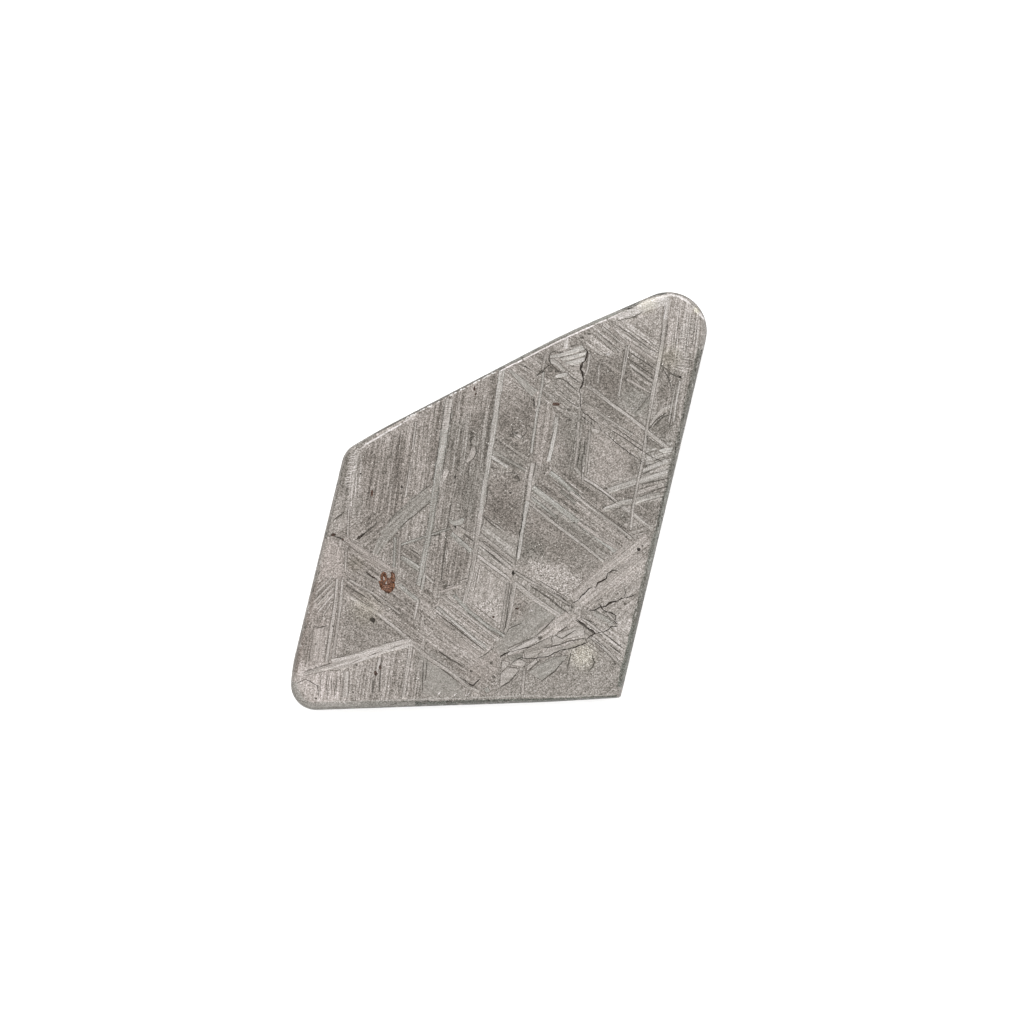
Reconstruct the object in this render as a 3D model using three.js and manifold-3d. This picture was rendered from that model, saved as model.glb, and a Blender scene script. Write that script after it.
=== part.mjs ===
// Etched slice of an iron meteorite, lying flat: one solid slab with a chamfered sawn outline.
// Its polished face is etched, so the crossing plates of the metal lie a little lower than the
// ground between them, and its cracks and pits are cut deeper.
// Millimetres, +Z up. The origin is the middle of the outline's box, on the sawn back face.

import * as THREE from "three";
import { mergeVertices } from "three/addons/utils/BufferGeometryUtils.js";
import Module from "manifold-3d";

// Driving sizes of the slab
const THICKNESS = 2.5;
const CHAMFER_DROP = 0.45;
const CHAMFER_BELLY = 0.13;
const BACK_BREAK = 0.12;

// Corners of the outline seen from above, anticlockwise. Each has the radius of its rounding and
// the steps of its arc, then the chamfer's width at the start and at the end of the edge that
// runs from it to the next corner.
const CORNERS = [
  { at: [-9.7, 3.21], radius: 1.5, steps: 8, chamfer: [0.3, 0.3] },
  { at: [-12.94, -10.12], radius: 8, steps: 3, chamfer: [0.3, 0.36] },
  { at: [-13.25, -13.09], radius: 1.6, steps: 12, chamfer: [0.45, 0.25] },
  { at: [2.92, -12.53], radius: 60, steps: 3, chamfer: [0.25, 0.15] },
  { at: [7.55, -12.26], radius: 0.2, steps: 4, chamfer: [0.35, 0.35] },
  { at: [14.01, 14.84], radius: 2.42, steps: 18, chamfer: [0.35, 0.2] },
  { at: [4.08, 10.54], radius: 50, steps: 3, chamfer: [0.2, 0.2] },
  { at: [-7.38, 4.57], radius: 25, steps: 3, chamfer: [0.2, 0.22] },
];
const SMALLEST_RADIUS = 0.05;

// Depth below the polished face to which each family of plates is etched
const DEPTH = { upright: 0.08, falling: 0.07, rising: 0.06, shallow: 0.05 };
const CRACK_DEPTH = 0.16;
const CUT_CLEARANCE = 0.5;

// Plates of the metal: each is a path of points on the polished face, with its width
const UPRIGHT_PLATES = [
  { path: [[-3.16, 6.28], [-3.8, 2.22], [-4.34, -1.53], [-5.06, -5.22]], width: 0.38 },
  { path: [[-5.1, -5.7], [-5.34, -7.34]], width: 0.16 },
  { path: [[-4.72, -4.59], [-4.88, -5.53]], width: 0.18 },
  { path: [[0.16, 8.34], [-0.38, 4.16], [-1.09, 0.09], [-1.66, -3.72], [-2.22, -6.34]], width: 0.24 },
  { path: [[2.08, 2.22], [1.72, 0.03], [1.16, -3.47]], width: 0.22 },
  { path: [[0.94, -5.22], [0.47, -7.91]], width: 0.19 },
  { path: [[0.53, -5.09], [0.09, -8.03]], width: 0.16 },
  { path: [[1.53, -10.6], [1.41, -12.1]], width: 0.19 },
  { path: [[2.84, 9.34], [2.76, 8.16]], width: 0.3 },
  { path: [[2.59, 7.28], [1.97, 3.03]], width: 0.16 },
  { path: [[3.53, 5.28], [3.03, 2.47]], width: 0.25 },
  { path: [[4.16, 10.0], [4.09, 9.53]], width: 0.22 },
  { path: [[8.03, 9.78], [7.47, 6.47]], width: 0.16 },
  { path: [[10.47, 12.34], [9.69, 7.34], [8.22, -1.53]], width: 0.22 },
  { path: [[11.16, 7.53], [10.84, 5.28]], width: 0.19 },
  { path: [[-6.54, -2.22], [-6.6, -4.1]], width: 0.13 },
  { path: [[-6.24, -2.22], [-6.3, -4.1]], width: 0.13 },
  { path: [[-5.56, -9.03], [-6.03, -12.2]], width: 0.22 },
  { path: [[-9.6, -10.6], [-9.68, -12.2]], width: 0.3 },
  { path: [[-10.16, -4.84], [-10.41, -7.28], [-10.84, -10.03]], width: 0.2 },
  { path: [[-9.84, -4.91], [-9.94, -6.16], [-10.28, -8.66], [-10.41, -9.78]], width: 0.15 },
  { path: [[-11.41, -7.84], [-11.66, -9.9]], width: 0.7 },
];
const FALLING_PLATES = [
  { path: [[-9.56, -2.47], [-8.0, -3.59], [-6.78, -4.34]], width: 0.44 },
  { path: [[-6.16, -3.47], [-5.0, -4.24]], width: 0.18 },
  { path: [[-9.34, -5.97], [-6.49, -7.91], [-4.41, -9.81], [-1.29, -11.88]], width: 0.22 },
  { path: [[-9.3, -5.2], [-6.1, -7.4]], width: 0.12 },
  { path: [[-8.5, -5.0], [-6.3, -6.6]], width: 0.12 },
  { path: [[-3.94, -6.59], [-2.38, -7.91], [-0.81, -9.16]], width: 0.16 },
  { path: [[-3.59, -5.91], [-0.22, -8.47]], width: 0.19 },
  { path: [[-2.86, -5.84], [0.27, -8.41]], width: 0.19 },
  { path: [[-4.03, -7.28], [-2.03, -9.09], [-1.34, -9.66]], width: 0.42 },
  { path: [[-3.03, -2.0], [-1.78, -3.09]], width: 0.25 },
  { path: [[-0.44, 2.72], [0.47, 2.18]], width: 0.16 },
  { path: [[0.63, 8.03], [2.19, 6.78]], width: 0.31 },
  { path: [[2.08, 0.91], [4.22, -0.78], [7.22, -3.09]], width: 0.31 },
  { path: [[1.78, -0.03], [4.22, -1.94], [6.91, -4.09]], width: 0.13 },
  { path: [[3.16, 1.84], [4.97, 0.22]], width: 0.25 },
  { path: [[5.26, 1.47], [7.41, -0.08]], width: 0.14 },
  { path: [[7.63, -0.31], [9.53, -1.72]], width: 0.22 },
  { path: [[5.44, 7.24], [6.94, 5.97], [8.03, 5.34], [10.58, 3.41]], width: 0.22 },
  { path: [[0.91, -5.09], [4.16, -7.41]], width: 0.31 },
  { path: [[5.14, -7.09], [6.83, -8.0]], width: 0.22 },
  { path: [[5.78, -8.53], [7.91, -10.47]], width: 0.22 },
  ...bundle({ from: [-1.2, -2.3], to: [0.95, -3.95], count: 3, step: [-0.12, -0.42], width: 0.18 }),
  ...bundle({ from: [5.9, 10.5], to: [7.2, 9.55], count: 5, step: [0.42, -0.34], width: 0.14 }),
  ...bundle({ from: [8.25, 8.5], to: [9.35, 7.6], count: 3, step: [0.02, -0.26], width: 0.11 }),
];
const RISING_PLATES = [
  { path: [[-7.16, -1.78], [-5.72, -0.41], [-4.34, 0.53], [-3.28, 1.78]], width: 0.88 },
  { path: [[4.35, -5.6], [5.66, -4.55], [6.72, -3.6], [9.3, -2.15]], width: 0.36 },
  { path: [[5.03, -6.34], [7.09, -4.47], [8.78, -3.53]], width: 0.28 },
  { path: [[8.38, 5.43], [9.33, 6.41]], width: 0.36 },
  { path: [[9.51, 5.19], [9.81, 5.72], [10.41, 6.16], [10.91, 6.41]], width: 0.22 },
  ...bundle({ from: [-10.6, -4.9], to: [-11.7, -6.1], count: 3, step: [0.2, -0.55], width: 0.16 }),
];
const SHALLOW_PLATES = [
  { path: [[-11.97, -10.41], [-9.66, -9.97], [-7.59, -9.28], [-5.59, -8.69]], width: 0.7 },
  { path: [[6.78, 0.66], [8.44, 1.25], [10.53, 1.84]], width: 0.34 },
  { path: [[6.5, -0.53], [8.47, 0.04], [10.03, 0.47]], width: 0.31 },
  { path: [[8.78, 1.84], [10.34, 2.47]], width: 0.18 },
  { path: [[-3.72, -5.66], [-1.84, -5.03]], width: 0.15 },
  { path: [[0.58, -9.34], [2.44, -8.58]], width: 0.31 },
  { path: [[2.78, -9.16], [4.34, -8.72], [5.34, -8.53]], width: 0.11 },
];
const CRACKS = [
  { path: [[5.47, 9.41], [5.09, 8.22], [5.2, 7.78], [4.97, 7.03], [5.14, 5.68], [6.28, 4.84]], width: 0.15 },
  { path: [[4.72, -6.25], [5.91, -5.28], [7.06, -4.28]], width: 0.16 },
  { path: [[5.5, -6.88], [6.83, -6.38], [8.44, -5.78]], width: 0.13 },
  { path: [[5.56, -8.78], [4.47, -9.16], [2.91, -9.72]], width: 0.12 },
  { path: [[0.03, -9.66], [0.59, -9.41], [1.78, -9.09]], width: 0.14 },
  { path: [[-2.03, -11.28], [-1.66, -11.53], [-1.28, -11.1]], width: 0.14 },
];
const PITS = [
  { at: [-7.95, -7.38], size: [0.38, 0.38], depth: 0.2 },
  { at: [-7.03, -5.09], size: [0.9, 1.35], depth: 0.06 },
  { at: [-10.41, -2.06], size: [0.32, 0.2], depth: 0.16 },
  { at: [8.67, -2.99], size: [0.22, 0.22], depth: 0.16 },
];
const PIT_SIDES = 14;

const iron = new THREE.MeshStandardMaterial({ color: 0x9d968f, roughness: 0.5, metalness: 0.9 });

// Plates side by side, each moved from the one before by the step
function bundle({ from, to, count, step, width }) {
  return Array.from({ length: count }, (_, i) => ({
    path: [from, to].map(([x, y]) => [x + i * step[0], y + i * step[1]]),
    width,
  }));
}

// Corner where two lines meet, each given by a point and a direction
function crossing(pointA, directionA, pointB, directionB) {
  const gap = pointB.clone().sub(pointA);
  const along = gap.cross(directionB) / directionA.cross(directionB);
  return pointA.clone().addScaledVector(directionA, along);
}

// The outline, drawn in from its edges by a share of the chamfer plus an even margin
function outline(chamferShare, margin) {
  const count = CORNERS.length;
  const edges = CORNERS.map((corner, i) => {
    const start = new THREE.Vector2(...corner.at);
    const end = new THREE.Vector2(...CORNERS[(i + 1) % count].at);
    const inward = end.clone().sub(start).normalize();
    inward.set(-inward.y, inward.x);
    start.addScaledVector(inward, corner.chamfer[0] * chamferShare + margin);
    end.addScaledVector(inward, corner.chamfer[1] * chamferShare + margin);
    return { start, direction: end.sub(start).normalize() };
  });
  const points = [];
  CORNERS.forEach((corner, i) => {
    const before = edges[(i + count - 1) % count];
    const after = edges[i];
    const apex = crossing(before.start, before.direction, after.start, after.direction);
    const drawnIn = corner.chamfer[0] * chamferShare + margin;
    const radius = Math.max(corner.radius - drawnIn, SMALLEST_RADIUS);
    const turn = Math.acos(THREE.MathUtils.clamp(before.direction.dot(after.direction), -1, 1));
    const toCentre = after.direction.clone().sub(before.direction).normalize();
    const centre = apex.clone().addScaledVector(toCentre, radius / Math.cos(turn / 2));
    const firstAngle = Math.atan2(before.direction.y, before.direction.x) - Math.PI / 2;
    for (let step = 0; step <= corner.steps; step++) {
      const angle = firstAngle + (turn * step) / corner.steps;
      points.push(new THREE.Vector2(
        centre.x + radius * Math.cos(angle),
        centre.y + radius * Math.sin(angle),
      ));
    }
  });
  return points;
}

// A closed solid through rings of equally many points, flat at both ends
function loft(rings) {
  const perRing = rings[0].points.length;
  const positions = rings.flatMap(({ points, height }) => points.flatMap((p) => [p.x, p.y, height]));
  const faces = [];
  for (let level = 0; level < rings.length - 1; level++) {
    for (let i = 0; i < perRing; i++) {
      const low = level * perRing + i;
      const lowNext = level * perRing + ((i + 1) % perRing);
      faces.push(low, lowNext, lowNext + perRing, low, lowNext + perRing, low + perRing);
    }
  }
  const lastRing = (rings.length - 1) * perRing;
  THREE.ShapeUtils.triangulateShape(rings[0].points, []).forEach(([a, b, c]) => faces.push(a, c, b));
  THREE.ShapeUtils.triangulateShape(rings.at(-1).points, [])
    .forEach(([a, b, c]) => faces.push(a + lastRing, b + lastRing, c + lastRing));
  const geometry = new THREE.BufferGeometry();
  geometry.setAttribute("position", new THREE.Float32BufferAttribute(positions, 3));
  geometry.setIndex(faces);
  return geometry;
}

function slabGeometry() {
  return loft([
    { points: outline(0, BACK_BREAK), height: 0 },
    { points: outline(0, 0), height: BACK_BREAK },
    { points: outline(0, 0), height: THICKNESS - CHAMFER_DROP },
    { points: outline(0.4, 0), height: THICKNESS - CHAMFER_BELLY },
    { points: outline(1, 0), height: THICKNESS },
  ]);
}

// Cutter that follows a path on the polished face, with its ends cut square
function groove({ path, width }, depth) {
  const points = path.map(([x, y]) => new THREE.Vector2(x, y));
  const sideways = points.map((point, i) => {
    const from = points[Math.max(i - 1, 0)];
    const to = points[Math.min(i + 1, points.length - 1)];
    const along = to.clone().sub(from).normalize();
    return new THREE.Vector2(-along.y, along.x).multiplyScalar(width / 2);
  });
  const left = points.map((point, i) => point.clone().add(sideways[i]));
  const right = points.map((point, i) => point.clone().sub(sideways[i]));
  return raisedCutter(new THREE.Shape([...right, ...left.reverse()]), depth);
}

function pit({ at: [x, y], size: [across, along], depth }) {
  const rim = Array.from({ length: PIT_SIDES }, (_, i) => {
    const angle = (i / PIT_SIDES) * 2 * Math.PI;
    return new THREE.Vector2(x + (across / 2) * Math.cos(angle), y + (along / 2) * Math.sin(angle));
  });
  return raisedCutter(new THREE.Shape(rim), depth);
}

// Cutter with the shape's outline, from the given depth below the polished face to above it
function raisedCutter(shape, depth) {
  const geometry = new THREE.ExtrudeGeometry(shape, { depth: depth + CUT_CLEARANCE, bevelEnabled: false });
  return geometry.translate(0, 0, THICKNESS - depth);
}

const wasm = await Module();
wasm.setup();

function solidOf(geometry) {
  geometry.deleteAttribute("normal");
  geometry.deleteAttribute("uv");
  const merged = mergeVertices(geometry);
  return new wasm.Manifold(new wasm.Mesh({
    numProp: 3,
    vertProperties: new Float32Array(merged.attributes.position.array),
    triVerts: new Uint32Array(merged.index.array),
  }));
}

function geometryOf(solid) {
  const mesh = solid.getMesh();
  const geometry = new THREE.BufferGeometry();
  geometry.setAttribute("position", new THREE.BufferAttribute(mesh.vertProperties, 3));
  geometry.setIndex(new THREE.BufferAttribute(mesh.triVerts, 1));
  geometry.computeVertexNormals();
  return geometry;
}

function slice() {
  const cutters = [
    ...UPRIGHT_PLATES.map((plate) => groove(plate, DEPTH.upright)),
    ...FALLING_PLATES.map((plate) => groove(plate, DEPTH.falling)),
    ...RISING_PLATES.map((plate) => groove(plate, DEPTH.rising)),
    ...SHALLOW_PLATES.map((plate) => groove(plate, DEPTH.shallow)),
    ...CRACKS.map((crack) => groove(crack, CRACK_DEPTH)),
    ...PITS.map(pit),
  ];
  let solid = solidOf(slabGeometry());
  for (const cutter of cutters) {
    solid = solid.subtract(solidOf(cutter));
  }
  const mesh = new THREE.Mesh(geometryOf(solid), iron);
  mesh.name = "slice";
  return mesh;
}

const meteorite = new THREE.Group();
meteorite.add(slice());

export default meteorite;
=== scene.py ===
"""Etched slice of an iron meteorite: one flat sawn piece, seen from straight above.

The slice's face is a planar arrangement of the metal's plates, seams, grains and cracks, and of the
painted highlights and painted shade along its chamfer, each one laid over those before it. The same
arrangement gives every facet its depth and its shade.
"""
import math
import random
from collections import namedtuple

import bpy
import numpy as np
from bpy.props import FloatProperty, FloatVectorProperty, IntProperty, PointerProperty
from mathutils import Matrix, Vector
from mathutils.geometry import delaunay_2d_cdt


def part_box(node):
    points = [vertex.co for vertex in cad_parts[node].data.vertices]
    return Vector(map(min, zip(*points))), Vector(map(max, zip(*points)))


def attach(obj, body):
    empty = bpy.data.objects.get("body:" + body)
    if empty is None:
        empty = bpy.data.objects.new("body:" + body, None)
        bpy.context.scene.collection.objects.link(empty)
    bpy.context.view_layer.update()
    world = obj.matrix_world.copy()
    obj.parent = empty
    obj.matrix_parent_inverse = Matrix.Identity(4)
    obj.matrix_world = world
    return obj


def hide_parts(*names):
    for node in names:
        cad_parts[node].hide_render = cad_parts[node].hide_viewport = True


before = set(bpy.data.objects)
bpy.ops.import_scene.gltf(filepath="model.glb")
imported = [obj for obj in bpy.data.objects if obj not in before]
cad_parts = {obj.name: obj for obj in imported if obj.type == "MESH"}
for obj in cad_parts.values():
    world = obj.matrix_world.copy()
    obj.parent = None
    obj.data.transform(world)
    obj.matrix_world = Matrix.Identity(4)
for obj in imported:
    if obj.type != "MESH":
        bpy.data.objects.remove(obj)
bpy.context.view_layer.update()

bl_info = {
    "name": "Etched Meteorite Slice",
    "version": (1, 0, 0),
    "blender": (4, 5, 0),
    "location": "View3D > Sidebar > Meteorite",
    "description": "Builds an etched slice of an iron meteorite, its bright grains and its stage",
    "category": "Add Mesh",
}

MM = 0.001
NODE = "slice"
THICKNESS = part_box(NODE)[1].z / MM

# Corners of the outline, anticlockwise; near and far are the chamfer's width along the next edge
Corner = namedtuple("Corner", "at radius steps near far")
CORNERS = (
    Corner((-9.7, 3.21), 1.5, 8, 0.3, 0.3),
    Corner((-12.94, -10.12), 8, 3, 0.3, 0.36),
    Corner((-13.25, -13.09), 1.6, 12, 0.45, 0.25),
    Corner((2.92, -12.53), 60, 3, 0.25, 0.15),
    Corner((7.55, -12.26), 0.2, 4, 0.35, 0.35),
    Corner((14.01, 14.84), 2.42, 18, 0.35, 0.2),
    Corner((4.08, 10.54), 50, 3, 0.2, 0.2),
    Corner((-7.38, 4.57), 25, 3, 0.2, 0.22),
)
SMALLEST_RADIUS = 0.05
CHAMFER_CURVE = 2.4
CHAMFER_RINGS = (0.15, 0.4, 0.7, 1.0)
BACK_BREAK = 0.12
WALL_LEVELS = (1.7, 1.3, 0.9, 0.5, 0.12)
WALL_SCRATCH = 0.02

# The flat arrangement, in millimetres, and how often the ground's shade is blurred
FACE_REACH = 13.5
GROUND_SPACING = 0.36
BACK_SPACING = GROUND_SPACING * 1.5
GROUND_CELL = 0.1
GROUND_BLURS = 5
CDT_STEP = 1e-4

# Directions of the four sets of plates, in degrees from +X
UPRIGHT = 81.2
FALLING = -36.5
RISING = 40.0
SHALLOW = 17.5

# How a patch looks: lightness, warmth, strength of grain and streaks, their direction, saw marks
Look = namedtuple("Look", "tone warmth grain streak angle sawn", defaults=(0.0,))
SAW_ANGLE = 12.0
GROUND_LOOK = Look(0.57, 0.2, 1.0, 0.7, UPRIGHT)
WALL_LOOK = Look(0.56, -0.2, 0.4, 0.0, 0.0, 1.0)
BACK_LOOK = Look(0.57, 0.2, 1.0, 0.9, SAW_ANGLE)

# Lightness and warmth of the metal's parts
METAL = {
    "silver": (0.715, -0.4),
    "ice": (0.68, -0.8),
    "moss": (0.61, -0.5),
    "cool": (0.65, -0.9),
    "pale": (0.675, 0.15),
    "pink": (0.645, 0.5),
    "cream": (0.72, 0.1),
    "tan": (0.62, 0.5),
    "plain": (0.60, 0.1),
    "grey": (0.545, -0.5),
    "brown": (0.50, 0.5),
    "dusk": (0.45, 0.0),
    "seam": (0.40, 0.1),
    "soot": (0.2, 0.6),
    "white": (0.85, 0.1),
    "rust": (0.245, 17.5),
    "ember": (0.13, 26.0),
    "clay": (0.31, 13.0),
    "umber": (0.25, 9.0),
    # bright and olive are the painted highlight and painted shade on the tip's chamfer; frost and white also
    # paint that highlight
    "bright": (0.92, 0.4),
    "frost": (0.79, 0.1),
    "olive": (0.30, -1.5),
    "sage": (0.66, -0.2),
}

# Seams and open cracks, and how much of its given width a crack opens
SEAM_TONE = 0.43
SEAM_WARMTH = 0.15
SEAM_DEPTH = -0.04
CRACK_TONE = 0.31
CRACK_WARMTH = 2.0
CRACK_DEPTH = -0.12
CRACK_SHARE = 0.54

# Bundles of fine lines, with a line's widths at its two ends
LIGHT_LINE_TONE = 0.75
DARK_LINE_TONE = 0.465
DARK_LINE_DEPTH = -0.01
LINE_WIDTHS = (0.06, 0.05)

# Crystals, spots, rust and painted sheen patches, and the nicks and painted glints along the rim
CRYSTAL_BORDER_TONE = 0.41
CRYSTAL_DEPTH = -0.02
SPOT_SIDES = 9
SPOT_DEPTH = -0.06
PATCH_DEPTH = -0.02
RIM_MARK_LENGTHS = (0.08, 0.3)
RIM_MARK_WIDTHS = (0.08, 0.06)

# A plate's dark edge: its reach past both sides together, its highest lightness, how much darker
EDGE_REACH = 0.09
EDGE_TONE = 0.5
EDGE_DARKER = 0.16
SOFT_EDGE_DARKER = 0.08

# How the plates show on the sawn back
BACK_CONTRAST = 0.5
BACK_LIFT = 0.3
BACK_DEPTH = -0.012

# Patterns of the metal, and the heights that its bump gives to streaks and saw marks
STREAK_STRETCH = (0.3, 9.0, 3.0)
SAW_STRETCH = (0.12, 0.12, 11.0)
MOTTLING_SCALE = 1.1
SAW_STRENGTH = 0.5
FLECK_WARMTH = 2.0
DISPLAY_GAMMA = 2.2
STREAK_HEIGHT = 0.6
SAW_HEIGHT = 3.0
BUMP_STRENGTH = 0.35
BUMP_DISTANCE = 0.00002

# Lightness that the contrast leaves as it is
MIDDLE_TONE = 0.595

# Shares of red and blue against green, and what changes them
RED = 1.077
RED_ACROSS = -0.0004
RED_BY_TONE = -0.06
RED_BY_WARMTH = 0.02
BLUE = 0.889
BLUE_BY_TONE = 0.11
BLUE_BY_YELLOW = -0.035
BLUE_BY_WARMTH = -0.0005
# Metals whose plates have no dark edge
SOFT_METALS = ("moss", "tan", "pink", "plain", "ice", "grey", "frost")

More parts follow.
